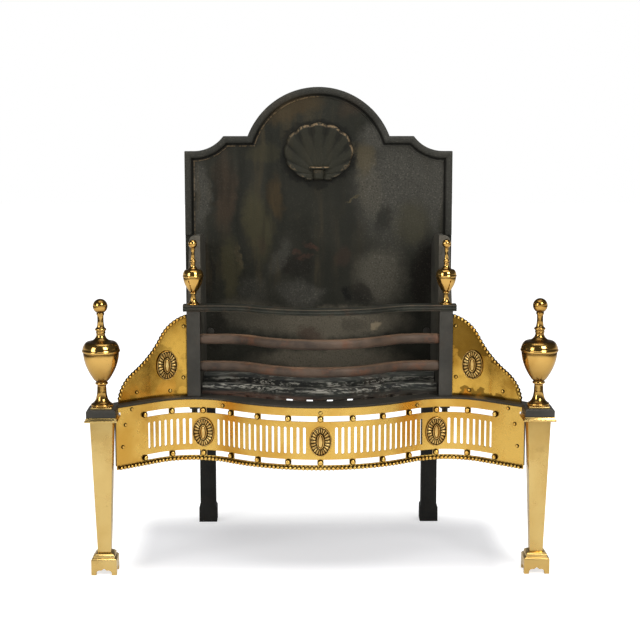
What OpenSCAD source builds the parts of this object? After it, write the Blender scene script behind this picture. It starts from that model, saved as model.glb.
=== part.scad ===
// Serpentine fire grate: cast iron basket with arched fireback, brass fret, wings, legs and urn finials.
// Millimetres, +X to the right, +Y to the back, +Z up. Origin under the middle of the whole grate.

/* [Overall] */
// Distance between the axes of the two front legs
leg_spread = 700; // [660:1:760]
// Height of the front rail's top above the hearth
rail_top = 270; // [240:1:300]
// Height of the fireback's arched top above the hearth
back_top = 777.5; // [740:0.5:840]

/* [Front rail] */
// Thickness of the serpentine front rail
rail_t = 10; // [8:0.5:14]
// Depth of the rail at its hollows
rail_d = 32; // [26:1:36]
// Extra depth of the rail behind the bow
rail_bulge = 13; // [0:1:14]
// Distance of the bow's crest behind the leg axis
crest_back = 13.5; // [6:0.5:24]
// Radius of the middle bow, on the fret's face
bow_r = 232; // [210:1:250]
// Radius of the hollows beside the bow, on the fret's face
dip_r = 93; // [80:1:100]
// Angle through which the bow turns on each side
swing = 40; // [36:0.5:43]
// Side of the square pads at the rail's ends
pad_w = 47; // [42:0.5:52]
// Height of the square pads
pad_h = 13; // [11:0.5:20]
// Height of the pads' top above the rail's top
pad_up = 2.4; // [0:0.1:4]

/* [Front legs] */
// Side of the shaft under the cap moulding
shaft_top = 36.5; // [30:0.5:40]
// Side of the shaft above the foot
shaft_bottom = 21; // [18:0.5:26]
// Height of the foot block
foot_h = 35; // [30:0.5:42]
// Side of the foot block
foot_w = 41; // [36:0.5:46]
// Width of the arched cut in the foot
foot_cut_w = 25; // [18:0.5:28]
// Height of the arched cut in the foot
foot_cut_h = 11; // [8:0.5:14]
// Height of the cap moulding
cap_h = 7; // [5:0.5:10]
// Width of the cap moulding
cap_w = 52.7; // [48:0.1:56]
// Diameter of the rod that holds leg, rail and finial together
rod_d = 10; // [8:0.5:12]

/* [Finials] */
// Side of the thin brass plinth under a large finial
plinth_w = 33.5; // [30:0.5:40]
// Thickness of the plinth
plinth_t = 3; // [2:0.5:5]
// Height of a large urn finial
urn_h = 173; // [150:1:190]
// Widest diameter of a large urn finial
urn_d = 61; // [52:0.5:66]
// Diameter of a large urn's ball
urn_ball = 23.4; // [18:0.1:26]
// Height of a small urn finial
small_urn_h = 108; // [90:1:120]
// Widest diameter of a small urn finial
small_urn_d = 35; // [28:0.5:38]
// Diameter of a small urn's ball
small_urn_ball = 14.6; // [10:0.1:16]

/* [Fret] */
// Thickness of the brass sheet of the fret and wings
sheet_t = 2; // [1.5:0.1:3]
// Height of the fret sheet
fret_h = 102; // [96:1:110]
// Distance of the fret's top edge below the rail's top
fret_drop = 3; // [0.5:0.5:4]
// Distance along the fret between ball studs
stud_pitch = 52.8; // [50:0.1:54]
// Diameter of a ball stud
stud_d = 10.3; // [8:0.1:11]
// Distance from the fret's top edge to the upper row of studs
stud_row_down = 17.5; // [16:0.5:20]
// Distance between the two rows of studs
stud_rows_apart = 72; // [69:0.5:74]
// Height of the long openings between the studs
strip_h = 9; // [6:0.5:11]
// Width of an upright slot
slot_w = 4.4; // [3:0.1:5.5]
// Height of an upright slot
slot_h = 44; // [36:0.5:48]
// Distance along the fret between slots
slot_pitch = 10.6; // [9.6:0.1:11]
// Number of slots on each side between the middle and side ovals
slots_inner = 16; // [8:2:16]
// Number of slots on each side outside the side ovals
slots_outer = 8; // [4:1:8]
// Distance along the fret from a side oval to the first slot outside it
oval_gap = 21.5; // [20:0.1:24]
// Width of an oval patera
oval_w = 36.5; // [30:0.5:38]
// Height of an oval patera
oval_h = 49; // [42:0.5:52]
// Distance of the fret's ovals below the middle of its slots
oval_down = 1; // [0:0.5:3]
// Diameter of a bead on the beaded edges
bead_d = 6.5; // [5:0.1:7]
// Distance between beads
bead_pitch = 6.9; // [6.6:0.1:8]
// Diameter of a round rivet head
rivet_d = 6; // [4:0.5:8]

/* [Wings] */
// Distance of the wings behind the fret's face
wing_back = 20; // [18:0.5:24]
// Height of the wings above the rail at the basket
wing_h = 137; // [125:1:138]
// Distance of the wings' oval above the rail
wing_oval_up = 53; // [48:1:60]

/* [Basket] */
// Clear width between the basket's cheeks
basket_w = 396; // [380:1:410]
// Width of an upright
upright_w = 22; // [18:0.5:26]
// Distance of the uprights' axis behind the front leg axis
upright_back = 107.5; // [105:0.5:112]
// Distance of the round bars' ends in front of the uprights' axis
bar_forward = 1.5; // [0:0.5:3]
// Height of an upright above the front rail
upright_h = 143; // [138:1:160]
// Forward bow of the top rail at its middle
top_bow = 54; // [40:1:60]
// Forward bow of the round bars at their middle
bar_bow = 64; // [45:1:68]
// Diameter of a round bar
bar_d = 17.5; // [12:0.5:18]
// Height of the lower bar's axis above the front rail
lower_bar_up = 51; // [48:0.5:56]
// Height of the upper bar's axis above the front rail
upper_bar_up = 96.5; // [92:0.5:106]
// Height of the moulded top rail
top_rail_h = 10.5; // [9:0.5:14]
// Depth of the moulded top rail
top_rail_d = 24; // [20:0.5:28]

/* [Fireback and cheeks] */
// Distance of the fireback's face behind the front leg axis
back_face = 284.5; // [265:0.5:310]
// Thickness of the fireback's plate
back_t = 14; // [10:0.5:20]
// Width of the fireback beyond the basket's clear width, on each side
back_over = 35; // [32:0.5:48]
// Height of the fireback's bottom edge above the hearth
back_bottom = 250; // [220:1:258]
// Height of the fireback's square corners above the hearth
corner_z = 666.5; // [620:0.5:700]
// Rise from the corners to the flat shoulders
shoulder_rise = 26; // [18:0.5:34]
// Distance from the fireback's side to the start of a shoulder
shoulder_in = 67; // [60:0.5:80]
// Width of the hollow curve that rises to a shoulder
cove_run = 52; // [40:0.5:56]
// Radius of the fireback's arch
arch_r = 132.2; // [110:0.1:140]
// Width of the raised rim
rim_w = 15; // [10:0.5:20]
// Height of the raised rim above the plate
rim_h = 6; // [4:0.5:9]
// Height of the rim's lower ends above the hearth
rim_foot_z = 521.5; // [480:0.5:560]
// Height of the shell's hinge above the hearth
shell_z = 625; // [590:1:640]
// Width of the shell
shell_w = 121; // [100:1:140]
// Height of the shell above its hinge
shell_h = 92; // [70:1:100]
// Relief of the shell
shell_relief = 9; // [5:0.5:12]
// Thickness of a cheek
cheek_t = 8; // [6:0.5:10]
// Height of the cheeks' top above the hearth, at their front
cheek_top = 536; // [500:1:560]
// Drop of the cheeks' top towards the fireback
cheek_drop = 31; // [10:1:50]

/* [Bottom grate] */
// Height of the grate's front lip
lip_h = 17; // [12:0.5:22]
// Depth of the grate's front lip
lip_d = 14; // [10:0.5:18]
// Number of ribs under the grate
rib_count = 11; // [7:2:11]
// Distance from the grate's side to its outer rib
rib_side = 17; // [13:0.5:24]
// Width of a rib
rib_w = 23; // [14:0.5:24]
// Depth of a rib below the lip
rib_h = 15; // [10:0.5:18]
// Play between the loose grate and what holds it, each way
grate_play = 1.5; // [1:0.1:3]

/* [Rear legs] */
// Side of a rear leg
rear_leg_w = 27.5; // [22:0.5:32]
// Distance of each rear leg's axis outside the basket's clear width
rear_leg_out = 1; // [0:0.5:5]
// Height of a rear leg
rear_leg_h = 372; // [350:1:420]
// Side of a rear leg's foot
rear_foot_w = 32; // [28:0.5:38]
// Height of a rear leg's foot
rear_foot_h = 31; // [24:0.5:40]

/* [Hidden] */
$fn = 48;

iron = [0.22, 0.22, 0.23];
bar_iron = [0.33, 0.27, 0.25];
back_iron = [0.17, 0.17, 0.16];
brass = [0.83, 0.66, 0.33];
dark_brass = [0.55, 0.42, 0.20];

fit = 0.2;                         // clearance of pins, rods and bars in their holes
touch = 0.1;                       // clearance behind curved faces
lap = 0.6;                         // overlap of shapes that are one casting
far = 400;                         // more than the grate's depth, for cuts that run through
leg_x = leg_spread / 2;
rear_leg_x = basket_w / 2 + rear_leg_out;
back_w = basket_w + 2 * back_over;
rib_pitch = (basket_w - 2 * (grate_play + rib_side) - rib_w) / (rib_count - 1);
leg_depth = back_face + back_t + rear_leg_w / 2;
bolt_out = 8;                      // what a bolt shows behind the piece it clamps
front_reach = max(cap_w, urn_d) / 2;
back_reach = max(rear_foot_w / 2, rear_leg_w / 2 + bolt_out);
leg_y = (front_reach - leg_depth - back_reach) / 2;
rear_leg_y = leg_y + leg_depth;

// Plan of the fret's face: a forward bow, a hollow on each side and a straight run to each leg
crest_y = leg_y + crest_back;
join_x = bow_r * sin(swing);
join_y = crest_y + bow_r * (1 - cos(swing));
hollow_x = join_x + dip_r * sin(swing);
hollow_y = join_y + dip_r * (1 - cos(swing));
turn_x = hollow_x + dip_r * sin(swing);
turn_y = join_y;
bow_len = bow_r * swing * PI / 180;
dip_len = 2 * dip_r * swing * PI / 180;
fret_gap = 2.3;                    // gap between the fret's end and the leg's shaft
fret_end_x = leg_x - shaft_top / 2 - fret_gap;
run_len = (fret_end_x - turn_x) / cos(swing);
half_len = bow_len + dip_len + run_len;
pad_in_x = leg_x - pad_w / 2;
pad_top = rail_top + pad_up;
leg_head_z = pad_top - pad_h - cap_h;

fret_top = rail_top - fret_drop;
fret_foot = fret_top - fret_h;
stud_z1 = fret_top - stud_row_down;
stud_z2 = stud_z1 - stud_rows_apart;
slot_z = (stud_z1 + stud_z2) / 2;
oval_z = slot_z - oval_down;
oval_s = 4 * stud_pitch;
bead_z = fret_foot + bead_d / 2;

upright_x = basket_w / 2 + upright_w / 2;
upright_y = leg_y + upright_back;
upright_top = rail_top + upright_h;
back_y = leg_y + back_face;
rear_face_y = back_y + back_t;
flange_w = basket_w / 2 + upright_w + 1;
top_rail_end = basket_w / 2 + upright_w + 6;
urn_gap = 0.5;                     // between a small urn and the cheek behind it
upright_y0 = upright_y - top_rail_d / 2;
cheek_y = upright_y + small_urn_d / 2 + urn_gap;
grate_z = rail_top + 0.3;
ledge_w = 14;
basket_run = basket_w / 2 - 33;
bar_y = upright_y - bar_forward;
shoulder_z = corner_z + shoulder_rise;
cove_turn = 2 * atan(shoulder_rise / cove_run);
cove_r = cove_run / sin(cove_turn);
stud_r = 5;                        // threaded end of an upright
small_stud_r = 3.5;                // threaded end of a small finial
bar_in = 7;                        // how far a round bar enters an upright
bolt_head_h = 3;
bolt_head_r = 6.5;

// Point on the fret's face, moved back by off, at distance s along the face from the middle
function face_xy(s, off = 0) =
    let (a = abs(s), m = s < 0 ? -1 : 1,
         h = heading(a),
         p = a <= bow_len
             ? [bow_r * sin(h), crest_y + bow_r * (1 - cos(h))]
             : a <= bow_len + dip_len
             ? [hollow_x - dip_r * sin(h), hollow_y - dip_r * (1 - cos(h))]
             : [turn_x + (a - bow_len - dip_len) * cos(swing), turn_y - (a - bow_len - dip_len) * sin(swing)])
    [m * (p[0] - off * sin(h)), p[1] + off * cos(h)];
// Heading of the face at distance a from the middle, in degrees towards the back
function heading(a) =
    a <= bow_len ? a / bow_r * 180 / PI
    : a <= bow_len + dip_len ? swing - (a - bow_len) / dip_r * 180 / PI
    : -swing;
// Distance along the face at which a surface off behind it reaches x, on the hollows and the straight runs
function face_s(x, off = 0) =
    let (r = dip_r + off, tx = hollow_x + r * sin(swing))
    x <= tx
    ? bow_len + (swing - asin((hollow_x - x) / r)) * PI / 180 * dip_r
    : bow_len + dip_len + (x - tx) / cos(swing);

// Bow of a basket bar: an arc at the middle, reversed arcs beside it and straight ends
function bow_turn(bow) = 2 * atan(bow / basket_run);
function bow_sum(bow) = basket_run / sin(bow_turn(bow));
function bow_mid_r(bow) = 0.63 * bow_sum(bow);
function bow_side_r(bow) = 0.37 * bow_sum(bow);

// Points of an arc about c from angle a to angle b
function arc(c, r, a, b, n = 10) = [for (i = [0 : n]) let (t = a + (b - a) * i / n) c + r * [cos(t), sin(t)]];
// Points of a curve that leaves a towards b and arrives at c from b
function curve(a, b, c, n = 8) =
    [for (i = [0 : n]) let (t = i / n) (1 - t) * (1 - t) * a + 2 * t * (1 - t) * b + t * t * c];

module mirrored() {
    mirror([1, 0, 0]) children();
}

module bar_between(z0, z1, points) {
    translate([0, 0, z0]) linear_extrude(z1 - z0) polygon(points);
}

// Distances along the face, from the middle to the leg, at which its outline has points
face_steps = concat(
    [for (i = [0 : 15]) bow_len * i / 16],
    [for (i = [0 : 31]) bow_len + dip_len * i / 32],
    [bow_len + dip_len, half_len]);
function both_ways(list) = concat([for (i = [len(list) - 1 : -1 : 1]) -list[i]], list);
function backwards(list) = [for (i = [len(list) - 1 : -1 : 0]) list[i]];

// Sheet that follows the fret's face from off back to off + t
module face_band(off, t, z0, z1) {
    s = both_ways(face_steps);
    bar_between(z0, z1, concat([for (a = s) face_xy(a, off)], [for (a = backwards(s)) face_xy(a, off + t)]));
}
// The same on the right only, from x0 to the leg
module right_band(off, t, z0, z1, x0, x1 = leg_x) {
    intersection() {
        face_band(off, t, z0, z1);
        translate([x0, leg_y - 100, z0 - 1]) cube([x1 - x0, far, z1 - z0 + 2]);
    }
}

// Stands its children at distance s along the face, with their back to the sheet
module on_face(s, z, off = 0) {
    p = face_xy(s, off);
    translate([p[0], p[1], z]) rotate([0, 0, (s < 0 ? -1 : 1) * heading(abs(s))]) children();
}

// Line of a basket bar from its left end to its right: [x, y, heading]
function bow_line(bow, y, end_x) =
    let (a = bow_turn(bow), rm = bow_mid_r(bow), rs = bow_side_r(bow),
         side = [for (i = [0 : 8]) let (t = a * i / 8) [basket_run - rs * sin(t), y - rs * (1 - cos(t)), t]])
    concat(
        [[-end_x, y, 0]],
        [for (p = side) [-p[0], p[1], -p[2]]],
        [for (i = [1 : 23]) let (t = -a + 2 * a * i / 24) [rm * sin(t), y - bow + rm * (1 - cos(t)), t]],
        backwards(side),
        [[end_x, y, 0]]);
// Carries a section, as points [back, up] in anticlockwise order, along a line
module along_line(line, section) {
    m = len(section);
    n = len(line);
    points = [for (p = line) for (q = section) [p[0] - q[0] * sin(p[2]), p[1] + q[0] * cos(p[2]), q[1]]];
    skin = [for (i = [0 : n - 2]) for (j = [0 : m - 1])
        let (k = (j + 1) % m, a = i * m + j, b = i * m + k, c = (i + 1) * m + k, d = (i + 1) * m + j)
        for (f = [[a, d, c], [a, c, b]]) f];
    ends = [[for (j = [0 : m - 1]) j], [for (j = [m - 1 : -1 : 0]) (n - 1) * m + j]];
    polyhedron(points, concat(skin, ends));
}

// Square block with the same moulded outline on all four sides: points are [half width, height]
module square_moulding(points) {
    outline = concat(points, [for (i = [len(points) - 1 : -1 : 0]) [-points[i][0], points[i][1]]]);
    reach = 2 * max([for (p = points) p[0]]) + 2;
    intersection() {
        rotate([90, 0, 0]) translate([0, 0, -reach / 2]) linear_extrude(reach) polygon(outline);
        rotate([90, 0, 90]) translate([0, 0, -reach / 2]) linear_extrude(reach) polygon(outline);
    }
}

// Fireback: arched plate with a raised rim and a scallop shell. Its outline, moved in by e: a square corner,
// a hollow curve up to each shoulder, a flat shoulder and the arch.
function back_outline(e = 0) =
    let (w = back_w / 2 - e, r = arch_r - e, arch_z = back_top - arch_r,
         half = acos((shoulder_z - e - arch_z) / r),
         cove_x = back_w / 2 - shoulder_in + cove_run, cove_z = corner_z + cove_r,
         cove = acos((cove_z - shoulder_z + e) / (cove_r + e)))
    concat(
        [[w, corner_z - e]],
        arc([cove_x, cove_z], cove_r + e, -90, -90 - cove, 10),
        arc([0, arch_z], r, 90 - half, 90 + half, 40),
        arc([-cove_x, cove_z], cove_r + e, -90 + cove, -90, 10),
        [[-w, corner_z - e]]);
module back_plate(e, y0, y1, foot) {
    translate([0, y1, 0]) rotate([90, 0, 0]) linear_extrude(y1 - y0)
        polygon(concat([[-back_w / 2 + e, foot], [back_w / 2 - e, foot]], back_outline(e)));
}
// Shell: ribs that fan out from a hinge to a scalloped oval edge, sunk into the plate at its back
shell_ribs = 13;
shell_sweep = 118;
shell_rows = 7;
shell_rise = 40;                   // height of the oval's middle above the hinge
shell_scallop = 0.035;
hinge_w = 19;
hinge_h = 20;
function shell_angle(i) = -shell_sweep + 2 * shell_sweep * i / (4 * shell_ribs);
function shell_rib(t) = abs(sin((t / shell_sweep + 1) * shell_ribs * 90));
// Distance from the hinge to the oval in direction t from upright
function oval_reach(t) =
    let (a = shell_w / 2 / (1 + shell_scallop), b = shell_h / (1 + shell_scallop) - shell_rise,
         p = pow(sin(t) / a, 2) + pow(cos(t) / b, 2), q = cos(t) * shell_rise / (b * b),
         k = pow(shell_rise / b, 2) - 1)
    (q + sqrt(q * q - p * k)) / p;
function shell_edge(t) = oval_reach(t) * (1 + shell_scallop * shell_rib(t));
function shell_height(t, u) = shell_relief * (0.35 + 0.65 * sin(u * 150)) * (0.72 + 0.28 * shell_rib(t));
module shell() {
    n = 4 * shell_ribs;
    top = [for (j = [0 : shell_rows]) for (i = [0 : n])
        let (t = shell_angle(i), u = 0.12 + 0.88 * j / shell_rows, r = shell_edge(t) * u)
        [r * sin(t), -shell_height(t, u), r * cos(t)]];
    low = [for (p = top) [p[0], 1.5, p[2]]];
    k = n + 1;
    size = len(top);
    walls = [for (j = [0 : shell_rows - 1]) for (i = [0 : n - 1])
        for (f = [[j * k + i, j * k + i + 1, (j + 1) * k + i + 1],
                  [j * k + i, (j + 1) * k + i + 1, (j + 1) * k + i]]) f];
    backs = [for (f = walls) [f[2] + size, f[1] + size, f[0] + size]];
    inner = [for (i = [0 : n - 1]) for (f = [[i, i + size, i + 1 + size], [i, i + 1 + size, i + 1]]) f];
    last = shell_rows * k;
    outer = [for (i = [0 : n - 1])
        for (f = [[last + i, last + i + 1, last + i + 1 + size],
                  [last + i, last + i + 1 + size, last + i + size]]) f];
    sides = [for (j = [0 : shell_rows - 1])
        for (f = [[j * k, (j + 1) * k, (j + 1) * k + size], [j * k, (j + 1) * k + size, j * k + size],
                  [j * k + n, j * k + n + size, (j + 1) * k + n + size],
                  [j * k + n, (j + 1) * k + n + size, (j + 1) * k + n]]) f];
    polyhedron(concat(top, low), [for (f = concat(walls, backs, inner, outer, sides)) backwards(f)]);
}

bolt_z1 = rail_top + 22;
bolt_z2 = rail_top + 80;
rear_bolt_x = rear_leg_x - 8;
cheek_bolt_x = basket_w / 2 + cheek_t + 9;
cheek_bolt_z1 = rear_leg_h + 20;
cheek_bolt_z2 = cheek_top - cheek_drop - 25;
upright_bolt_zs = [rail_top + 28, upright_top - 24];
upright_bolt_x = upright_x + 4;
bolt_r = 4;

module bolt_holes_back() {
    at = [[rear_bolt_x, bolt_z1], [rear_bolt_x, bolt_z2],
        [cheek_bolt_x, cheek_bolt_z1], [cheek_bolt_x, cheek_bolt_z2]];
    for (m = [-1, 1]) for (p = at)
        translate([m * p[0], back_y - 50, p[1]]) rotate([-90, 0, 0]) cylinder(h = 120, r = bolt_r + fit);
}

module fireback() {
    color(back_iron) difference() {
        union() {
            back_plate(0, back_y, rear_face_y, back_bottom);
            difference() {
                back_plate(0, back_y - rim_h, back_y + lap, rim_foot_z);
                back_plate(rim_w, back_y - rim_h - 1, back_y + 1, rim_foot_z - 1);
            }
            translate([0, back_y, shell_z]) shell();
            translate([-hinge_w / 2, back_y - shell_relief * 0.7, shell_z - hinge_h / 2])
                cube([hinge_w, shell_relief * 0.7 + lap, hinge_h]);
        }
        bolt_holes_back();
    }
}

// A cheek: its top curves down to the fireback; flanges turn outwards at the front and the back
cheek_flat = 10;
flange_corner_r = 9;
flange_taper = 5;
module cheek_right() {
    x0 = basket_w / 2;
    run = back_y - cheek_y - cheek_flat;
    turn = 2 * atan(cheek_drop / run);
    r = run / sin(turn);
    c = [cheek_y + cheek_flat, cheek_top - r];
    q = flange_corner_r;
    color(back_iron) difference() {
        union() {
            translate([x0, 0, 0]) rotate([90, 0, 90]) linear_extrude(cheek_t)
                polygon(concat([[cheek_y, rail_top], [back_y, rail_top]], arc(c, r, 90 - turn, 90, 10),
                    [[cheek_y, cheek_top]]));
            translate([0, cheek_y + cheek_t, 0]) rotate([90, 0, 0]) linear_extrude(cheek_t)
                polygon(concat([[x0, rail_top], [flange_w, rail_top], [flange_w, upright_top]],
                    arc([flange_w - flange_taper - q, cheek_top - q], q, 0, 90, 6), [[x0, cheek_top]]));
            translate([x0, back_y - cheek_t, rail_top])
                cube([flange_w - x0, cheek_t, cheek_bolt_z2 + 14 - rail_top]);
            translate([x0 - ledge_w, cheek_y + cheek_t, rail_top - cheek_t])
                cube([ledge_w + cheek_t, back_y - cheek_y - cheek_t, cheek_t]);
        }
        translate([cheek_bolt_x, back_y - 30, 0]) for (z = [cheek_bolt_z1, cheek_bolt_z2])
            translate([0, 0, z]) rotate([-90, 0, 0]) cylinder(h = 60, r = bolt_r + fit);
        translate([upright_bolt_x, cheek_y - 30, 0]) for (z = upright_bolt_zs)
            translate([0, 0, z]) rotate([-90, 0, 0]) cylinder(h = 60, r = bolt_r + fit);
    }
}
module cheek_left() { mirrored() cheek_right(); }

// Loose bottom grate: a front lip, a low and a high cross bar on ribs that run to the back, with a runner at
// each side. The lip keeps clear behind the top rail, so that the grate lifts out. Under its outer parts a web
// closes the gaps between the ribs.
lip_back = top_rail_d / 2 + grate_play;
cross_bars = [[0, lip_d, lip_h], [30, 10, lip_h - 4], [56, 24, lip_h + 8]];
runner_h = 9;
runner_w = 11;
rib_up = 2;
web_t = 6;
web_h = 8;
module bottom_grate() {
    z = grate_z;
    half = basket_w / 2 - grate_play;
    side_y = upright_y + lip_back;
    rear = back_y - bolt_head_h - grate_play;
    color(bar_iron) union() {
        for (b = cross_bars) translate([0, b[0], z]) grate_bar(b[1], b[2], half);
        difference() {
            along_line(behind_top_rail(lip_back + lip_d - web_t, basket_w / 2 - ledge_w - 2 * grate_play),
                [[0, z - web_h], [web_t, z - web_h], [web_t, z + 1], [0, z + 1]]);
            translate([-2 * rib_pitch, leg_y, z - 2 * web_h]) cube([4 * rib_pitch, far, 4 * web_h]);
        }
        difference() {
            union() {
                for (i = [0 : rib_count - 1]) {
                    x = (i - (rib_count - 1) / 2) * rib_pitch - rib_w / 2;
                    translate([x, side_y - top_bow, z + rib_up - rib_h])
                        cube([rib_w, rear - side_y + top_bow, rib_h]);
                }
                for (m = [0, 1]) mirror([m, 0, 0])
                    translate([half - runner_w, side_y, z]) cube([runner_w, rear - side_y, runner_h]);
                translate([-half, rear - runner_w, z]) cube([2 * half, runner_w, runner_h]);
            }
            in_front_of_lip(z);
        }
    }
}
// Line that runs off behind the top rail's middle line
function behind_top_rail(off, end_x) =
    [for (p = bow_line(top_bow, upright_y, end_x)) [p[0] - off * sin(p[2]), p[1] + off * cos(p[2]), p[2]]];
module grate_bar(d, h, half) {
    along_line(behind_top_rail(lip_back + d / 2, half),
        [[-d / 2, 0], [d / 2, 0], [d / 2, h - 2], [d / 4, h], [-d / 4, h], [-d / 2, h - 5]]);
}
// Everything in front of the lip, to trim the ribs
module in_front_of_lip(z) {
    line = [for (p = behind_top_rail(lip_back + 2, basket_w)) [p[0], p[1]]];
    bar_between(z - 40, z + 40, concat([[-basket_w, leg_y - 100], [basket_w, leg_y - 100]], backwards(line)));
}

// Uprights stand on the rail and carry the bars and the top rail
module upright_right() {
    stem = rail_t + 19;
    color(iron) difference() {
        union() {
            translate([upright_x - upright_w / 2, upright_y0, rail_top])
                cube([upright_w, cheek_y - upright_y0, upright_h]);
            translate([upright_x, upright_y, rail_top - stem]) cylinder(h = stem + 1, r = stud_r);
        }
        for (z = [rail_top + lower_bar_up, rail_top + upper_bar_up])
            translate([upright_x - upright_w / 2 - 1, bar_y, z]) rotate([0, 90, 0])
                cylinder(h = bar_in + 2, r = bar_d / 2 + fit);
        translate([upright_x, upright_y, upright_top - 14]) cylinder(h = 15, r = small_stud_r + fit);
        translate([upright_bolt_x, upright_y - 1, 0]) for (z = upright_bolt_zs)
            translate([0, 0, z]) rotate([-90, 0, 0]) cylinder(h = 60, r = bolt_r + fit);
    }
}
module upright_left() { mirrored() upright_right(); }

module upright_nuts() {
    color(iron) for (m = [-1, 1]) translate([m * upright_x, upright_y, rail_top - rail_t - 11])
        difference() {
            intersection() {
                translate([-8, -8, 0]) cube([16, 16, 11]);
                translate([0, 0, -1]) cylinder(h = 13, r = 10.4);
            }
            translate([0, 0, -1]) cylinder(h = 13, r = stud_r + fit);
        }
}

// Moulded top rail: a flat bar with softened edges and a reed along its front
reed_r = 3;
module top_rail() {
    d = top_rail_d / 2;
    h = top_rail_h;
    front = reed_r * 0.6 - d;
    e = 1.5;
    line = bow_line(top_bow, upright_y, top_rail_end);
    color(iron) translate([0, 0, upright_top]) difference() {
        union() {
            along_line(line, [[front + e, 0], [d, 0], [d, h - 2], [d - 2, h], [front + e, h],
                [front, h - e], [front, e]]);
            along_line(line, [for (a = [0 : 30 : 330])
                [reed_r - d + reed_r * cos(a), h / 2 + reed_r * sin(a)]]);
        }
        for (m = [-1, 1]) translate([m * upright_x, upright_y, -1])
            cylinder(h = h + 2, r = small_stud_r + fit);
    }
}

module round_bar(up) {
    color(bar_iron) translate([0, 0, rail_top + up])
        along_line(bow_line(bar_bow, bar_y, basket_w / 2 + bar_in),
            [for (i = [0 : 15]) bar_d / 2 * [cos(22.5 * i), sin(22.5 * i)]]);
}
module upper_bar() { round_bar(upper_bar_up); }
module lower_bar() { round_bar(lower_bar_up); }

// Serpentine front rail with a square pad at each end that sits between leg and finial
// Depth of the rail behind the fret's face: full behind the bow, easing to rail_d in the hollows
function rail_back(s) =
    let (t = (abs(s) / bow_len - 0.65) / 0.6) rail_d + rail_bulge * (1 + cos(180 * max(0, min(1, t)))) / 2;
module front_rail() {
    into_pad = (leg_x - fret_end_x) / cos(swing);
    s = both_ways(concat(face_steps, [half_len + into_pad]));
    front = [for (a = s) face_xy(a, sheet_t + touch)];
    back = [for (a = backwards(s)) face_xy(a, rail_back(a))];
    color(iron) difference() {
        union() {
            intersection() {
                bar_between(rail_top - rail_t, rail_top, concat(front, back));
                translate([-leg_x, leg_y - pad_w / 2 + 4, 0]) cube([2 * leg_x, far, rail_top + 1]);
            }
            for (m = [-1, 1]) translate([m * leg_x, leg_y, pad_top - pad_h])
                square_moulding([[pad_w / 2 - 1, 0], [pad_w / 2, 1.2], [pad_w / 2, pad_h - 2.5],
                    [pad_w / 2 - 2.5, pad_h]]);
        }
        for (m = [-1, 1]) {
            translate([m * leg_x, leg_y, rail_top - 40]) cylinder(h = 80, r = rod_d / 2 + fit);
            translate([m * upright_x, upright_y, rail_top - 40]) cylinder(h = 80, r = stud_r + fit);
            translate([m * strap_screw[0], strap_screw[1], rail_top - rail_t - 1])
                cylinder(h = 8, r = screw_r + fit);
        }
    }
}

// Iron straps behind the fret's ends that take its end rivets, with a tab screwed under the rail. Each
// reaches to the leg's tapered shaft and closes the gap that is left beside the fret.
strap_in_x = fret_end_x - 32;
shaft_gap = 0.6;
strap_t = 3;
screw_r = 2.5;
strap_screw = face_xy(half_len - 28, sheet_t + 12);
module end_strap_right() {
    off = sheet_t + touch;
    z = rail_top - rail_t;
    color(iron) difference() {
        union() {
            right_band(off, strap_t, fret_foot + 6, z, strap_in_x, leg_x - shaft_top / 2 + 3);
            right_band(off, 20, z - strap_t, z, strap_in_x, pad_in_x - 4);
        }
        translate([leg_x - cap_w / 2 - touch, leg_y - 60, leg_head_z - touch]) cube([cap_w, 120, 60]);
        translate([leg_x, leg_y, leg_foot_z])
            square_moulding([[shaft_bottom / 2 + shaft_gap, 0],
                [shaft_top / 2 + shaft_gap, leg_head_z - leg_foot_z]]);
        translate([strap_screw[0], strap_screw[1], z - 10]) cylinder(h = 20, r = screw_r + fit);
    }
}
module end_strap_left() { mirrored() end_strap_right(); }

module fret() {
    color(brass) difference() {
        face_band(0, sheet_t, fret_foot, fret_top);
        for (m = [-1, 1]) {
            translate([m * leg_x - cap_w / 2 - touch, leg_y - 60, leg_head_z - touch])
                cube([cap_w + 2 * touch, 120, cap_h + 2 * touch]);
            translate([m * leg_x - pad_w / 2 - touch, leg_y - 60, leg_head_z])
                cube([pad_w + 2 * touch, 120, 60]);
            for (k = [0 : 5]) for (z = [stud_z1, stud_z2]) strip_opening(m, k, z);
            for (i = [0 : slots_inner - 1])
                slot(m * (oval_s / 2 + (i - (slots_inner - 1) / 2) * slot_pitch));
            for (i = [0 : slots_outer - 1])
                slot(m * (oval_s + oval_gap + i * slot_pitch));
        }
    }
}
// Long opening between stud k and stud k + 1
module strip_opening(m, k, z) {
    a = m * (k * stud_pitch + stud_d / 2);
    b = m * ((k + 1) * stud_pitch - stud_d / 2);
    p = face_xy(a, -8);
    q = face_xy(b, -8);
    r = face_xy(b, 12);
    s = face_xy(a, 12);
    mid0 = face_xy((a + b) / 2, -8);
    mid1 = face_xy((a + b) / 2, 12);
    bar_between(z - strip_h / 2, z + strip_h / 2, [p, mid0, q, r, mid1, s]);
}
module slot(s) {
    on_face(s, slot_z) {
        translate([-slot_w / 2, -6, -slot_h / 2 + slot_w / 2]) cube([slot_w, 14, slot_h - slot_w]);
        for (u = [-1, 1]) translate([0, -6, u * (slot_h - slot_w) / 2]) rotate([-90, 0, 0])
            cylinder(h = 14, r = slot_w / 2, $fn = 16);
    }
}

// Beads along the fret's bottom edge
module fret_beading() {
    n = floor((half_len - bead_d / 2) / bead_pitch);
    color(brass) for (i = [-n : n]) {
        p = face_xy(i * bead_pitch, -bead_d / 2 - touch);
        translate([p[0], p[1], bead_z]) sphere(d = bead_d, $fn = 24);
    }
}

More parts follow.
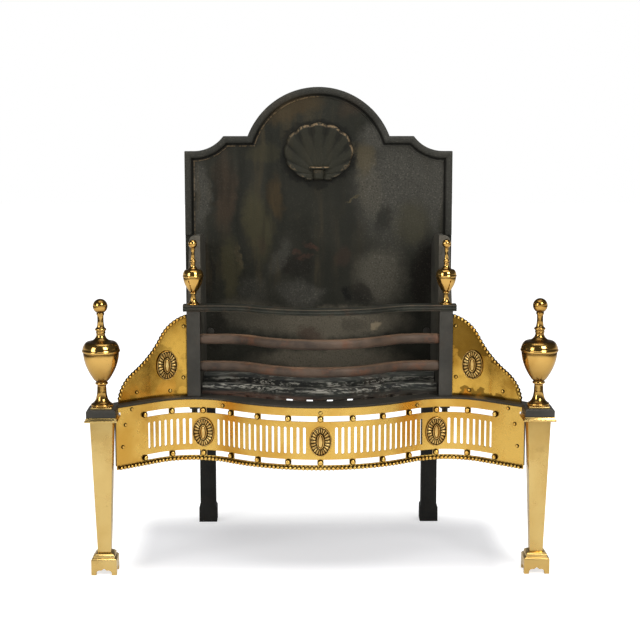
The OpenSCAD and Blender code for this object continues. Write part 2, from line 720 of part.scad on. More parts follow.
// Ball studs between the long openings: each is a little more than half a ball, flat against the sheet
stud_out = 1;                      // distance of a ball's middle in front of the sheet
stud_back = touch + stud_d * stud_d / (8 * dip_r);
module fret_studs() {
    low = asin((stud_back - stud_out) / (stud_d / 2));
    color(brass) for (m = [-6 : 6]) for (z = [stud_z1, stud_z2])
        on_face(m * stud_pitch, z) rotate([90, 0, 0]) rotate_extrude($fn = 32)
            polygon(concat([[0, stud_back]], arc([0, stud_out], stud_d / 2, low, 90, 7)));
}

// Low round rivet heads at [distance along the face, height above the hearth]
top_rivet_s = 176;
top_rivet_down = 7.5;
end_rivets = [[half_len - 30, rail_top - 8], [half_len - 17, rail_top - 32],
    [half_len - 11.5, rail_top - 68]];
module rivet_head() {
    rotate([90, 0, 0]) rotate_extrude($fn = 24)
        polygon(concat([[0, 0], [rivet_d / 2, 0]],
            curve([rivet_d / 2, 0.6], [rivet_d / 2, 2.2], [0, 2.4], 5)));
}
module fret_rivets() {
    color(brass) {
        on_face(0, fret_top - top_rivet_down, -touch) rivet_head();
        for (m = [-1, 1]) {
            on_face(m * top_rivet_s, fret_top - top_rivet_down, -touch) rivet_head();
            for (r = end_rivets) on_face(m * r[0], r[1], -touch) rivet_head();
        }
    }
}

// Oval patera: a dished oval with a raised rim, a ring of petals and a long boss
module patera() {
    k = oval_h / oval_w;
    r = oval_w / 2;
    color(dark_brass) rotate([90, 0, 0]) union() {
        oval_ring(r, r - 2, 0, 2.6);
        oval_ring(r - 1, 0, 0, 1.0);
        petals(24, r * 0.70, r * 0.20);
        oval_ring(r * 0.42, r * 0.33, 0.8, 2.0);
        translate([0, 0, 0.8]) hull() for (u = [-1, 1]) translate([0, u * r * 0.42, 0])
            rotate_extrude($fn = 20) polygon([[0, 0], [r * 0.17, 0], [r * 0.14, 1.6], [0, 2.4]]);
    }
}
function oval(r, k, n = 48) = [for (i = [0 : n - 1]) let (t = 360 * i / n) [r * cos(t), (r + k) * sin(t)]];
module oval_ring(ro, ri, z0, z1) {
    grow = (oval_h - oval_w) / 2;
    translate([0, 0, z0]) linear_extrude(z1 - z0) difference() {
        polygon(oval(ro, grow));
        if (ri > 0) polygon(oval(ri, grow));
    }
}
module petals(n, mid, half) {
    grow = (oval_h - oval_w) / 2;
    translate([0, 0, 0.8]) linear_extrude(1.2) for (i = [0 : n - 1]) {
        t = 360 * i / n;
        a = [(mid - half) * cos(t), (mid - half + grow) * sin(t)];
        b = [(mid + half) * cos(t), (mid + half + grow) * sin(t)];
        e = 1.25 * [-sin(t), cos(t)];
        polygon([a - 0.45 * e, b - e, b + e, a + 0.45 * e]);
    }
}
module fret_paterae() {
    on_face(0, oval_z, -touch) patera();
    for (m = [-1, 1]) on_face(m * oval_s, oval_z, -hollow_stand(dip_r)) patera();
}
// How far an oval's flat back stands off a hollow of radius r, so that its sides just clear it
function hollow_stand(r) = oval_w * oval_w / (8 * r) + touch;

// Wings: brass sheets behind the fret that fall in an ogee from the uprights to the legs
wing_in_x = upright_x + upright_w / 2 + touch;
// Ogee edge: a round shoulder, a long slope and a hollow toe, drawn as arcs and fitted to the wing's run
// and fall
wing_toe_h = 4;
ogee_turns = [14, 64, 39, 87];
ogee_radii = [67, 155, 62];
function ogee_at(r, a) = r * [sin(a), cos(a)];
function ogee() =
    let (t = ogee_turns, r = ogee_radii,
         c1 = -ogee_at(r[0], t[0]),
         c2 = c1 + ogee_at(r[0] + r[1], t[1]),
         c3 = c2 - ogee_at(r[1] + r[2], t[2]))
    concat(
        [for (i = [0 : 8]) c1 + ogee_at(r[0], t[0] + (t[1] - t[0]) * i / 8)],
        [for (i = [1 : 6]) c2 - ogee_at(r[1], t[1] + (t[2] - t[1]) * i / 6)],
        [for (i = [1 : 8]) c3 + ogee_at(r[2], t[2] + (t[3] - t[2]) * i / 8)]);
function wing_outline() =
    let (p = ogee(), last = p[len(p) - 1],
         kx = (fret_end_x - wing_in_x) / last[0], kz = (wing_toe_h - wing_h) / last[1])
    [for (q = p) [wing_in_x + kx * q[0], rail_top + wing_h + kz * q[1]]];
module wing_right() {
    pts = wing_outline();
    color(brass) intersection() {
        right_band(wing_back, sheet_t, rail_top, rail_top + wing_h + 10, wing_in_x, fret_end_x);
        translate([0, leg_y + 200, 0]) rotate([90, 0, 0]) linear_extrude(300)
            polygon(concat([[wing_in_x - 5, rail_top - 1], [wing_in_x - 5, pts[0][1]]], pts,
                [[fret_end_x, rail_top - 1]]));
    }
}
module wing_left() { mirrored() wing_right(); }

// Iron angle behind each wing: a strip up the basket's side and a low strip along the rail
module wing_bracket_right() {
    off = wing_back + sheet_t + touch;
    color(iron) union() {
        right_band(off, strap_t, rail_top, rail_top + wing_h - 12, wing_in_x, wing_in_x + 11);
        right_band(off, strap_t, rail_top, rail_top + 18, wing_in_x, fret_end_x - 22);
    }
}
module wing_bracket_left() { mirrored() wing_bracket_right(); }

wing_bead_pitch = bead_pitch * 1.02;
wing_bead_start = bead_d / 2 + 1;
// Points at equal steps along the wing's outline
function run_lengths(p, i = 0, s = 0) =
    i == len(p) - 1 ? [s] : concat([s], run_lengths(p, i + 1, s + norm(p[i + 1] - p[i])));
function along(p, l, s, i = 0) =
    i >= len(p) - 2 || s <= l[i + 1]
    ? p[i] + (s - l[i]) / (l[i + 1] - l[i]) * (p[i + 1] - p[i])
    : along(p, l, s, i + 1);
// Outline points carried to the curved sheet: [x, y, z] with the true distance between them
function wing_edge() = [for (p = wing_outline())
    let (q = face_xy(face_s(p[0], wing_back), wing_back)) [q[0], q[1], p[1]]];
module wing_beading_right() {
    edge = wing_edge();
    lengths = run_lengths(edge);
    n = floor((lengths[len(lengths) - 1] - bead_d / 2 - wing_bead_start) / wing_bead_pitch);
    inset = bead_d / 2 - 1;
    off = wing_back - bead_d / 2 - touch;
    color(brass) for (i = [0 : n]) {
        at = wing_bead_start + i * wing_bead_pitch;
        p = along(edge, lengths, at);
        d = along(edge, lengths, at + 1) - p;
        x = p[0] + inset * d[2];
        q = face_xy(face_s(x, off), off);
        translate([q[0], q[1], p[2] - inset * norm([d[0], d[1]])]) sphere(d = bead_d, $fn = 24);
    }
}
module wing_beading_left() { mirrored() wing_beading_right(); }

wing_oval_x = wing_in_x + 34;
module wing_patera_right() {
    off = wing_back - hollow_stand(dip_r + wing_back);
    on_face(face_s(wing_oval_x, wing_back), rail_top + wing_oval_up, off) patera();
}
module wing_patera_left() { mirrored() wing_patera_right(); }

// Wing rivets at [distance along x, height above the rail]: three near the basket, one near the leg
wing_rivet_at = [[wing_in_x + 5.5, wing_h - 20], [wing_in_x + 7, 31], [wing_in_x + 29, 9.5],
    [fret_end_x - 28.5, 14]];
module wing_rivets() {
    color(brass) for (m = [0, 1]) mirror([m, 0, 0]) for (r = wing_rivet_at)
        on_face(face_s(r[0], wing_back), rail_top + r[1], wing_back - touch) rivet_head();
}

// Front legs
leg_foot_z = foot_h;
foot_recess = 19;
nut_t = 7;
module leg_right() {
    h = leg_head_z - leg_foot_z;
    color(brass) translate([leg_x, leg_y, leg_foot_z]) difference() {
        square_moulding([[shaft_bottom / 2, 0], [shaft_top / 2, h]]);
        translate([0, 0, -1]) cylinder(h = h + 2, r = rod_d / 2 + fit);
    }
}
module leg_left() { mirrored() leg_right(); }

module foot_right() {
    w = foot_w / 2;
    c = foot_cut_w / 2;
    h = foot_h;
    arch = concat([[-c, -1], [-c, foot_cut_h * 0.35]],
        curve([-c, foot_cut_h * 0.35], [-c * 0.8, foot_cut_h * 0.85], [-c * 0.35, foot_cut_h * 0.7], 5),
        [[0, foot_cut_h]],
        curve([c * 0.35, foot_cut_h * 0.7], [c * 0.8, foot_cut_h * 0.85], [c, foot_cut_h * 0.35], 5),
        [[c, -1]]);
    color(brass) translate([leg_x, leg_y, 0]) difference() {
        square_moulding([[w, 0], [w, h - 10], [w - 2, h - 8], [w - 3.5, h - 7.5], [w - 3.5, h - 4],
            [w - 6, h - 1.5], [shaft_bottom / 2 + 1, h]]);
        for (a = [0, 90]) rotate([0, 0, a]) translate([0, foot_w, 0]) rotate([90, 0, 0])
            linear_extrude(2 * foot_w) polygon(arch);
        translate([0, 0, -1]) cylinder(h = h + 2, r = rod_d / 2 + fit);
        translate([0, 0, -1]) cylinder(h = foot_recess + 1, r = 10.5);
    }
}
module foot_left() { mirrored() foot_right(); }

module leg_cap_right() {
    w = cap_w / 2;
    h = cap_h;
    color(brass) translate([leg_x, leg_y, leg_head_z]) difference() {
        square_moulding(concat([[w - 0.8, 0], [w, 0.8], [w, 2.2], [w - 0.8, 3]],
            curve([w - 1.2, 3.4], [w - 2, h - 0.6], [pad_w / 2, h], 4)));
        translate([0, 0, -1]) cylinder(h = h + 2, r = rod_d / 2 + fit);
    }
}
module leg_cap_left() { mirrored() leg_cap_right(); }

module plinth_right() {
    w = plinth_w / 2;
    color(brass) translate([leg_x, leg_y, pad_top]) difference() {
        square_moulding([[w, 0], [w, plinth_t - 1], [w - 1, plinth_t]]);
        translate([0, 0, -1]) cylinder(h = plinth_t + 2, r = rod_d / 2 + fit);
    }
}
module plinth_left() { mirrored() plinth_right(); }

// Turned urn: round foot, stem with a collar, bowl, domed cover, neck with a ring, and a ball. Heights are
// shares that keep the cover's edge at share wide of the height; radii are shares of the widest radius.
urn_rim = 0.519;
function urn_profile(h, d, ball, wide) =
    let (r = d / 2, b = ball / 2, cz = h - b, ring = 0.0115 * h,
         hz = function (t) h * (t < urn_rim ? t * wide / urn_rim : 1 - (1 - t) * (1 - wide) / (1 - urn_rim)),
         at = function (kr, t) [kr * r, hz(t)])
    concat(
        [[0, 0], at(0.52, 0), at(0.54, 0.008), at(0.54, 0.018), at(0.48, 0.028)],
        curve(at(0.48, 0.030), at(0.25, 0.058), at(0.245, 0.160), 8),
        arc(at(0.27, 0.214), ring, -60, 60, 6),
        curve(at(0.29, 0.232), at(0.37, 0.240), at(0.44, 0.258), 4),
        curve(at(0.47, 0.266), at(0.86, 0.370), at(0.925, 0.470), 8),
        [at(0.94, 0.500), at(0.975, 0.504)],
        arc([r - ring, hz(urn_rim)], ring, -45, 60, 5),
        curve(at(0.955, 0.545), at(0.86, 0.600), at(0.66, 0.604), 6),
        curve(at(0.56, 0.606), at(0.28, 0.622), at(0.225, 0.668), 6),
        arc(at(0.225, 0.686), 0.5 * ring, -60, 60, 3),
        arc(at(0.235, 0.717), ring, -75, 75, 5),
        curve(at(0.21, 0.736), at(0.145, 0.770), at(0.165, 0.845), 6),
        [at(0.205, 0.855), at(0.205, 0.868)],
        arc([0, cz], b, -55, 90, 12));
finial_z = pad_top + plinth_t;
rod_in_finial = 24;
module finial_right() {
    color(brass) translate([leg_x, leg_y, finial_z]) difference() {
        rotate_extrude($fn = 64) polygon(urn_profile(urn_h, urn_d, urn_ball, urn_rim));
        translate([0, 0, -1]) cylinder(h = rod_in_finial + 2, r = rod_d / 2 + fit);
    }
}
module finial_left() { mirrored() finial_right(); }

small_stud_in = 11;
small_urn_rim = 0.44;
module small_finial_right() {
    color(brass) translate([upright_x, upright_y, upright_top + top_rail_h]) union() {
        rotate_extrude($fn = 64)
            polygon(urn_profile(small_urn_h, small_urn_d, small_urn_ball, small_urn_rim));
        translate([0, 0, -top_rail_h - small_stud_in])
            cylinder(h = top_rail_h + small_stud_in + 1, r = small_stud_r);
    }
}
module small_finial_left() { mirrored() small_finial_right(); }

// Threaded rods through foot, shaft, cap, pad and plinth into the finials
module leg_rod_right() {
    color(iron) translate([leg_x, leg_y, foot_recess - nut_t - 1])
        cylinder(h = finial_z + rod_in_finial - foot_recess + nut_t + 1, r = rod_d / 2);
}
module leg_rod_left() { mirrored() leg_rod_right(); }
// Nuts in the feet's round recesses that pull the legs up against the rail
module leg_rod_nuts() {
    color(iron) for (m = [-1, 1]) translate([m * leg_x, leg_y, foot_recess - nut_t]) difference() {
        cylinder(h = nut_t, r = 9.5, $fn = 6);
        translate([0, 0, -1]) cylinder(h = nut_t + 2, r = rod_d / 2 + fit);
    }
}

// Rear legs: square iron posts with a block foot, bolted to the back of the fireback
module rear_leg_right() {
    w = rear_leg_w / 2;
    f = rear_foot_w / 2;
    color(iron) difference() {
        translate([rear_leg_x, rear_leg_y, 0])
            square_moulding([[f, 0], [f, rear_foot_h - 5], [w, rear_foot_h],
                [w, rear_leg_h - 4], [w - 4, rear_leg_h]]);
        bolt_holes_back();
    }
}
module rear_leg_left() { mirrored() rear_leg_right(); }

// Round-headed bolt from the front through len of iron, with a nut behind
module bolt(len) {
    rotate([-90, 0, 0]) union() {
        translate([0, 0, -bolt_head_h]) cylinder(h = bolt_head_h, r = bolt_head_r);
        translate([0, 0, -0.5]) cylinder(h = len + bolt_out + 0.5, r = bolt_r);
        translate([0, 0, len]) cylinder(h = 6, r = 7.5, $fn = 6);
    }
}
module rear_leg_bolts() {
    color(iron) for (m = [-1, 1]) for (z = [bolt_z1, bolt_z2])
        translate([m * rear_bolt_x, back_y, z]) bolt(back_t + rear_leg_w);
}
module cheek_bolts() {
    color(iron) for (m = [-1, 1]) {
        for (z = [cheek_bolt_z1, cheek_bolt_z2])
            translate([m * cheek_bolt_x, back_y - cheek_t, z]) bolt(back_t + cheek_t);
        for (z = upright_bolt_zs)
            translate([m * upright_bolt_x, cheek_y + cheek_t, z]) rotate([90, 0, 0]) union() {
                translate([0, 0, -4]) cylinder(h = 4, r = 6, $fn = 6);
                translate([0, 0, -0.5]) cylinder(h = cheek_t + 12, r = bolt_r);
            }
    }
}
// Screws through the straps' tabs into the rail
module strap_screws() {
    color(iron) for (m = [-1, 1])
        translate([m * strap_screw[0], strap_screw[1], rail_top - rail_t - strap_t]) union() {
            translate([0, 0, -2.5]) cylinder(h = 2.5, r = 4.5);
            translate([0, 0, -0.5]) cylinder(h = strap_t + 7, r = screw_r);
        }
}

fireback();
cheek_left();
cheek_right();
bottom_grate();
upright_left();
upright_right();
upright_nuts();
top_rail();
upper_bar();
lower_bar();
front_rail();
end_strap_left();
end_strap_right();
fret();
fret_beading();
fret_studs();
fret_rivets();
fret_paterae();
wing_left();
wing_right();
wing_bracket_left();
wing_bracket_right();
wing_beading_left();
wing_beading_right();
wing_patera_left();
wing_patera_right();
wing_rivets();
leg_left();
leg_right();
foot_left();
foot_right();
leg_cap_left();
leg_cap_right();
plinth_left();
plinth_right();
finial_left();
finial_right();
leg_rod_left();
leg_rod_right();
leg_rod_nuts();
small_finial_left();
small_finial_right();
rear_leg_left();
rear_leg_right();
rear_leg_bolts();
cheek_bolts();
strap_screws();
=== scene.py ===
# Looks of the serpentine fire grate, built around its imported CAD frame.
import math

import bmesh
import bpy
import numpy as np
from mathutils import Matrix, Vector

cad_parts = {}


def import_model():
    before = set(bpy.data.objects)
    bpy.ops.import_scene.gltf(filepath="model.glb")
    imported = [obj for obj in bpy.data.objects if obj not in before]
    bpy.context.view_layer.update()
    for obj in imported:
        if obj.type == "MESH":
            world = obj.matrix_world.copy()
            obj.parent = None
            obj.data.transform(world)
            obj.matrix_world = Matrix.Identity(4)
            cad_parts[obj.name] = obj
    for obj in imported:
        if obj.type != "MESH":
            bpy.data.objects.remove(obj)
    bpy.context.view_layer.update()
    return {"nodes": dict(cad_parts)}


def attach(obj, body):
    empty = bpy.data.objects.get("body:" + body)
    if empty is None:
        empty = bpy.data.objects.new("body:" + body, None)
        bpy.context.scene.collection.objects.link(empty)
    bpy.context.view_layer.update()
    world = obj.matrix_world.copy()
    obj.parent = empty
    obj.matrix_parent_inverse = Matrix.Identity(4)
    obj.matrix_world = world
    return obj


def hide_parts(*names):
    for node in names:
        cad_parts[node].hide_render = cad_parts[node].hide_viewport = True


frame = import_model()
mm = 0.001
tau = 2 * math.pi
sides = {"left": -1, "right": 1}

# Shader maths


class Val:
    # a shader socket that adds Math nodes when it is used in an expression
    def __init__(self, finish, socket):
        self.finish, self.socket = finish, socket

    def math(self, operation, *others):
        keys = dict(enumerate((self,) + others))
        return self.finish.make("ShaderNodeMath", {"operation": operation}, keys)

    def __add__(self, other):
        return self.math("ADD", other)

    def __sub__(self, other):
        return self.math("SUBTRACT", other)

    def __mul__(self, other):
        return self.math("MULTIPLY", other)

    def __rsub__(self, other):
        return self.math("MULTIPLY", -1) + other

    __radd__, __rmul__ = __add__, __mul__

    def step(self, low, high, outLow=0.0, outHigh=1.0):
        # eased rise from outLow to outHigh while the value goes from low to high
        return self.finish.make("ShaderNodeMapRange", {"interpolation_type": "SMOOTHSTEP"}, {
            "Value": self, "From Min": low, "From Max": high, "To Min": outLow, "To Max": outHigh})


class Finish:
    # the node tree of a material or a world: make() adds any node, the other methods are shorthand for it
    def __init__(self, owner):
        owner.use_nodes = True
        self.owner, self.tree = owner, owner.node_tree
        self.tree.nodes.clear()

    def make(self, kind, settings=None, sockets=None, out=0):
        # a node with its settings, then the values or links of its sockets, each by number or by name
        node = self.tree.nodes.new(kind)
        for key, value in (settings or {}).items():
            setattr(node, key, value)
        for key, value in (sockets or {}).items():
            socket = self.pick(node.inputs, key)
            if isinstance(value, Val):
                self.tree.links.new(value.socket, socket)
            elif value is not None:
                socket.default_value = value
        if node.outputs:
            return Val(self, self.pick(node.outputs, out))

    def pick(self, sockets, key):
        if isinstance(key, int):
            return sockets[key]
        return next(s for s in sockets if key in (s.identifier, s.name))

    def place(self):
        return self.make("ShaderNodeTexCoord", out="Object")

    def mapped(self, vector, centre=(0, 0, 0), turn=(0, 0, 0), scale=(1, 1, 1)):
        # the vector as seen from centre, turned back and divided by scale
        return self.make("ShaderNodeMapping", {"vector_type": "TEXTURE"},
                         {"Vector": vector, "Location": centre, "Rotation": turn, "Scale": scale})

    def noise(self, vector, scale, detail=3.0, rough=0.5, out="Fac"):
        return self.make("ShaderNodeTexNoise", {}, {
            "Vector": vector, "Scale": scale, "Detail": detail, "Roughness": rough}, out)

    def mix(self, factor, first, second):
        return self.make("ShaderNodeMix", {"data_type": "RGBA"}, {
            "Factor_Float": factor, "A_Color": first, "B_Color": second}, "Result_Color")

    def vector(self, operation, first, second, out=0):
        return self.make("ShaderNodeVectorMath", {"operation": operation}, {0: first, 1: second}, out)

    def axis(self, vector, letter):
        return self.make("ShaderNodeSeparateXYZ", {}, {"Vector": vector}, letter)

    def ray(self, kind):
        return self.make("ShaderNodeLightPath", out=f"Is {kind} Ray")

    def attribute(self, name):
        return self.make("ShaderNodeAttribute", {"attribute_name": name}, {}, "Fac")

    def bump(self, height, depth, strength=1.0, under=None):
        return self.make("ShaderNodeBump", {}, {
            "Height": height, "Distance": depth, "Strength": strength, "Normal": under})

    def surface(self, **sockets):
        names = {key.replace("_", " "): value for key, value in sockets.items()}
        shader = self.make("ShaderNodeBsdfPrincipled", {}, names)
        self.make("ShaderNodeOutputMaterial", {}, {"Surface": shader})
        return self.owner


def tint(colour):
    # display colour 0 to 255 as the linear colour that Blender's sockets take
    channels = [c / 255 for c in colour]
    return tuple(c / 12.92 if c <= 0.04045 else ((c + 0.055) / 1.055) ** 2.4 for c in channels) + (1.0,)


# Brass

# tones as shown, roughness, clouds in a metre, share of dark patches; pools = tarnish and its warm spots
fretLook = {"pale": (240, 196, 101), "deep": (226, 174, 78), "speck": (104, 68, 26), "rough": 0.26,
            "clouds": 14.0, "patches": 0.1}
legLook = {"pale": (232, 200, 128), "deep": (216, 178, 104), "speck": (128, 88, 40), "rough": 0.24,
           "clouds": 10.0, "patches": 0.14}
wingLook = {"pale": (222, 176, 80), "deep": (168, 122, 42), "speck": (66, 44, 16), "rough": 0.15,
            "clouds": 16.0, "patches": 0.45, "pools": ((120, 88, 30), (190, 116, 26))}
urnLook = {"pale": (232, 186, 104), "deep": (204, 154, 74), "speck": (62, 38, 14), "rough": 0.09,
           "clouds": 12.0, "patches": 0.12, "grime": True, "waves": 0.0003}
beadLook = {"pale": (255, 214, 118), "deep": (240, 184, 84), "speck": (44, 28, 10), "rough": 0.26,
            "clouds": 20.0, "patches": 0.2, "grime": True}
ovalLook = {"pale": (250, 214, 136), "deep": (222, 180, 104), "speck": (34, 27, 18), "rough": 0.34,
            "clouds": 60.0, "patches": 0.2, "grime": True}
# how many waves of each noise go into a metre
brassGrain = {"patches": 38.0, "specks": 330.0, "pools": 15.0, "waves": 26.0, "scratches": 900.0}


def brass(name, look):
    # cloudy brass: two tones by soft noise, dark patches and specks, grime and painted shade where the
    # piece's attribute says
    f = Finish(bpy.data.materials.new(name))
    spot = f.place()
    clouds = f.noise(spot, look["clouds"], 4.0, 0.55).step(0.35, 0.68)
    colour = f.mix(clouds, tint(look["pale"]), tint(look["deep"]))
    patches = f.noise(spot, brassGrain["patches"], 5.0, 0.62).step(0.60, 0.78)
    colour = f.mix(patches * look["patches"], colour, tint(look["speck"]))
    specks = f.noise(spot, brassGrain["specks"], 2.0, 0.5).step(0.70, 0.78)
    colour = f.mix(specks * 0.5, colour, tint(look["speck"]))
    if "pools" in look:
        colour = tarnish(f, spot, colour, look["pools"])
    rough = clouds * 0.06 + patches * 0.12 + look["rough"]
    if "grime" in look:
        dirtAndShade = f.attribute("grime")
        colour = f.mix(dirtAndShade, colour, tint(look["speck"]))
        rough = rough + dirtAndShade * 0.25
    waves = f.noise(spot, brassGrain["waves"], 3.0, 0.5)
    scratches = f.noise(f.mapped(spot, scale=(1.0, 1.0, 0.08)), brassGrain["scratches"], 2.0, 0.6)
    normal = f.bump(waves, look.get("waves", 0.0012), 0.25, f.bump(scratches, 0.0001, 0.12))
    return f.surface(Base_Color=colour, Metallic=1.0, Roughness=rough, Normal=normal)


def tarnish(f, spot, colour, pools):
    # sharp-edged pools where a slow noise is high, stronger on the right half, with warm spots at the foot
    shore = f.noise(f.mapped(spot, centre=(0.02, 0, 0.01)), brassGrain["pools"], 4.0, 0.55)
    share = f.axis(spot, "X").step(-0.1, 0.1, 0.35, 0.85)
    low = f.axis(spot, "Z").step(0.28, 0.31, 1.0, 0.0)
    pooled = f.mix(low * shore.step(0.53, 0.58), tint(pools[0]), tint(pools[1]))
    return f.mix(shore.step(0.47, 0.485) * share, colour, pooled)


brassFret = brass("fret_brass", fretLook)
brassLeg = brass("leg_brass", legLook)
brassWing = brass("wing_brass", wingLook)
brassUrn = brass("urn_brass", urnLook)
brassBead = brass("bead_brass", beadLook)
brassOval = brass("oval_brass", ovalLook)
print("brass finishes made")

# Iron


# what an iron has unless its own look says otherwise; grain = waves in a metre, depth = of its pits in metres
ironUsual = {"grain": 420.0, "depth": 0.00025, "metal": 0.35, "gloss": 0.5, "worn": (124, 100, 78)}
blackLook = {"pale": (70, 67, 60), "deep": (54, 52, 46), "rough": 0.38, "rust": 0.2, "rustTone": (78, 62, 50)}
railLook = {"pale": (60, 61, 52), "deep": (42, 43, 37), "rough": 0.46, "rust": 0.45, "rustTone": (78, 58, 42),
            "gloss": 0.35}
barLook = {"pale": (102, 84, 70), "deep": (66, 56, 48), "rough": 0.50, "rust": 0.8, "rustTone": (108, 72, 52),
           "grain": 260.0, "depth": 0.0003, "gloss": 0.4, "worn": (150, 118, 90)}
grateLook = {"pale": (56, 58, 50), "deep": (34, 36, 32), "rough": 0.62, "rust": 0.25,
             "rustTone": (90, 66, 52), "grain": 220.0, "depth": 0.0010, "metal": 0.1, "ash": (200, 196, 182),
             "ashDust": (140, 138, 126), "ashGap": (22, 23, 21), "lip": (92, 70, 58),
             "lipTop": (0.272, 0.278), "ashFrom": (0.2765, 0.2865), "ashTo": (0.288, 0.290)}
cheekLook = {"pale": (82, 79, 69), "deep": (58, 56, 49), "rough": 0.50, "rust": 0.3, "rustTone": (76, 62, 48),
             "grain": 300.0, "depth": 0.0005, "metal": 0.1, "worn": (94, 88, 76), "flangeY": -0.0255}
# the rear legs' iron is painted darker as painted shade, for the shade they stand in behind the basket
rearShadedLook = {"pale": (34, 34, 31), "deep": (24, 24, 22), "rough": 0.55, "rust": 0.2, "rustTone": (40, 34, 28),
            "metal": 0.0, "gloss": 0.25}


def iron(name, look):
    # dark metal: two tones by noise, rust in soft patches, pits, and the worn tone where the attribute says
    look = {**ironUsual, **look}
    f = Finish(bpy.data.materials.new(name))
    spot = f.place()
    clouds = f.noise(spot, 18.0, 5.0, 0.6).step(0.32, 0.70)
    colour = f.mix(clouds, tint(look["deep"]), tint(look["pale"]))
    patches = f.noise(spot, 30.0, 5.0, 0.65).step(0.50, 0.68)
    colour = f.mix(patches * look["rust"], colour, tint(look["rustTone"]))
    worn = f.attribute("wear") * patches.step(0.0, 1.0, 0.45, 1.0)
    colour = f.mix(worn, colour, tint(look["worn"]))
    pits = f.noise(spot, look["grain"], 3.0, 0.6)
    if "flangeY" in look:
        flange = f.axis(spot, "Y").step(look["flangeY"] - 0.0004, look["flangeY"] + 0.0004, 0.8, 0.0)
        colour = f.mix(flange, colour, tint(look["worn"]))
        colour = f.mix(pits.step(0.35, 0.5, 0.6, 0.0), colour, tint(look["deep"]))
    if "ash" in look:
        colour = ashed(f, spot, colour, look)
    normal = f.bump(pits, look["depth"], 0.8, f.bump(patches, 0.0008, 0.3))
    return f.surface(Base_Color=colour, Metallic=look["metal"], Roughness=pits * 0.15 + look["rough"],
                     Normal=normal, Specular_IOR_Level=look["gloss"])


def ashed(f, spot, colour, look):
    # brown lip on the left, dust and gaps by a noise drawn out along X, and pale streaks between two heights
    height = f.axis(spot, "Z")
    band = height.step(*look["ashFrom"]) * height.step(*look["ashTo"], 1.0, 0.08)
    flakes = f.noise(f.mapped(spot, scale=(14.0, 2.0, 1.0)), 300.0, 3.0, 0.5)
    grit = f.noise(f.mapped(spot, scale=(5.0, 1.0, 1.0)), 420.0, 2.0, 0.55)
    drifts = f.noise(spot, 12.0, 2.0, 0.5).step(0.38, 0.62, 0.35, 1.0)
    lip = height.step(*look["lipTop"], 1.0, 0.0) * f.axis(spot, "X").step(-0.04, 0.02, 1.0, 0.2)
    colour = f.mix(lip, colour, tint(look["lip"]))
    colour = f.mix(flakes.step(0.56, 0.66) * 0.4, colour, tint(look["ashDust"]))
    colour = f.mix(flakes.step(0.36, 0.46, 1.0, 0.0) * 0.7, colour, tint(look["ashGap"]))
    return f.mix((flakes + grit).step(0.98, 1.16) * band * drifts * 0.9, colour, tint(look["ash"]))


ironBlack = iron("black_iron", blackLook)
ironRail = iron("rail_iron", railLook)
ironBar = iron("bar_iron", barLook)
ironGrate = iron("grate_iron", grateLook)
ironCheek = iron("cheek_iron", cheekLook)
ironRearShaded = iron("rear_iron", rearShadedLook)

# tones of the fireback as they look when lit, with the share of grain each has
backTones = {"ash": ((82, 80, 73), 1.0), "pale": ((92, 88, 77), 1.0), "olive": ((72, 68, 49), 0.1),
             "brown": ((68, 57, 45), 0.2), "umber": ((78, 64, 42), 0.1), "dark": ((44, 44, 38), 0.1),
             "soot": ((36, 33, 28), 0.3), "black": ((24, 24, 22), 0.5), "tan": ((94, 84, 62), 0.3),
             # the last tone is pale ash made brighter, painted light for the plate where the rail and bars
             # shade it
             "rust": ((74, 55, 45), 0.2), "bone": ((170, 154, 126), 0.0), "haze": ((124, 116, 100), 1.0)}
# ragged stains, one over the other, among them a painted shadow and painted light: centre x and z, half
# widths, turn, tone and strength (mm, degrees)
backStains = [
    (142, 596, 91, 109, 0, "ash", 0.8), (90, 603, 23, 63, -14, "pale", 0.65),
    (207, 593, 14, 81, 0, "ash", 0.6), (163, 540, 38, 46, 20, "olive", 0.55),
    (114, 550, 16, 28, 12, "dark", 0.75), (112, 448, 54, 58, 0, "pale", 0.85),
    (100, 693, 26, 35, 38, "ash", 0.75), (78, 652, 21, 30, 0, "tan", 0.6),
    (-205, 586, 17, 74, 0, "ash", 0.75), (-163, 593, 24, 77, 0, "brown", 0.9),
    (-132, 596, 12, 70, 0, "dark", 0.75),
    (-107, 540, 28, 77, -3, "olive", 0.9), (-106, 505, 12, 21, 0, "brown", 0.55),
    (-73, 591, 14, 46, 0, "umber", 0.8), (-97, 663, 33, 21, 0, "olive", 0.5),
    (-46, 742, 59, 23, -22, "umber", 0.7), (53, 744, 28, 25, 0, "brown", 0.55),
    (-32, 649, 26, 70, 0, "dark", 0.5), (48, 554, 21, 70, 0, "dark", 0.6),
    (-39, 466, 35, 25, 0, "soot", 0.75), (-66, 484, 17, 42, 25, "ash", 0.5),
    (-32, 417, 47, 25, 0, "ash", 0.7), (-116, 424, 30, 28, 0, "ash", 0.35),
    (-156, 459, 19, 67, -2, "olive", 0.95), (-144, 482, 4, 32, -3, "tan", 0.55),
    (-195, 452, 14, 60, 0, "soot", 0.6), (76, 417, 26, 25, 0, "soot", 0.75),
    # the soot stain at x 184 beside the right cheek is a painted shadow cast by the cheek
    (48, 415, 10, 14, 0, "black", 0.85), (184, 445, 21, 81, 4, "soot", 0.95),
    (43, 484, 19, 18, 0, "rust", 0.35), (-13, 501, 12, 5, 18, "rust", 0.95),
    (-25, 480, 15, 6, -8, "rust", 0.85), (-36, 492, 5, 7, 0, "rust", 0.7), (62, 586, 16, 2, -36, "tan", 0.8),
    # the broad pale stains at z 364, 380 and 300 are pale ash brightened as painted light where the rail and
    # bars shade the plate
    (20, 364, 150, 32, 0, "haze", 0.75), (-130, 380, 60, 30, 0, "haze", 0.3),
    (-13, 346, 26, 16, 0, "rust", 0.6), (58, 360, 24, 14, 0, "soot", 0.35),
    (97, 362, 9, 11, 30, "bone", 0.85), (20, 300, 150, 26, 0, "haze", 0.65),
    (-181, 350, 24, 35, 0, "soot", 0.6),
]
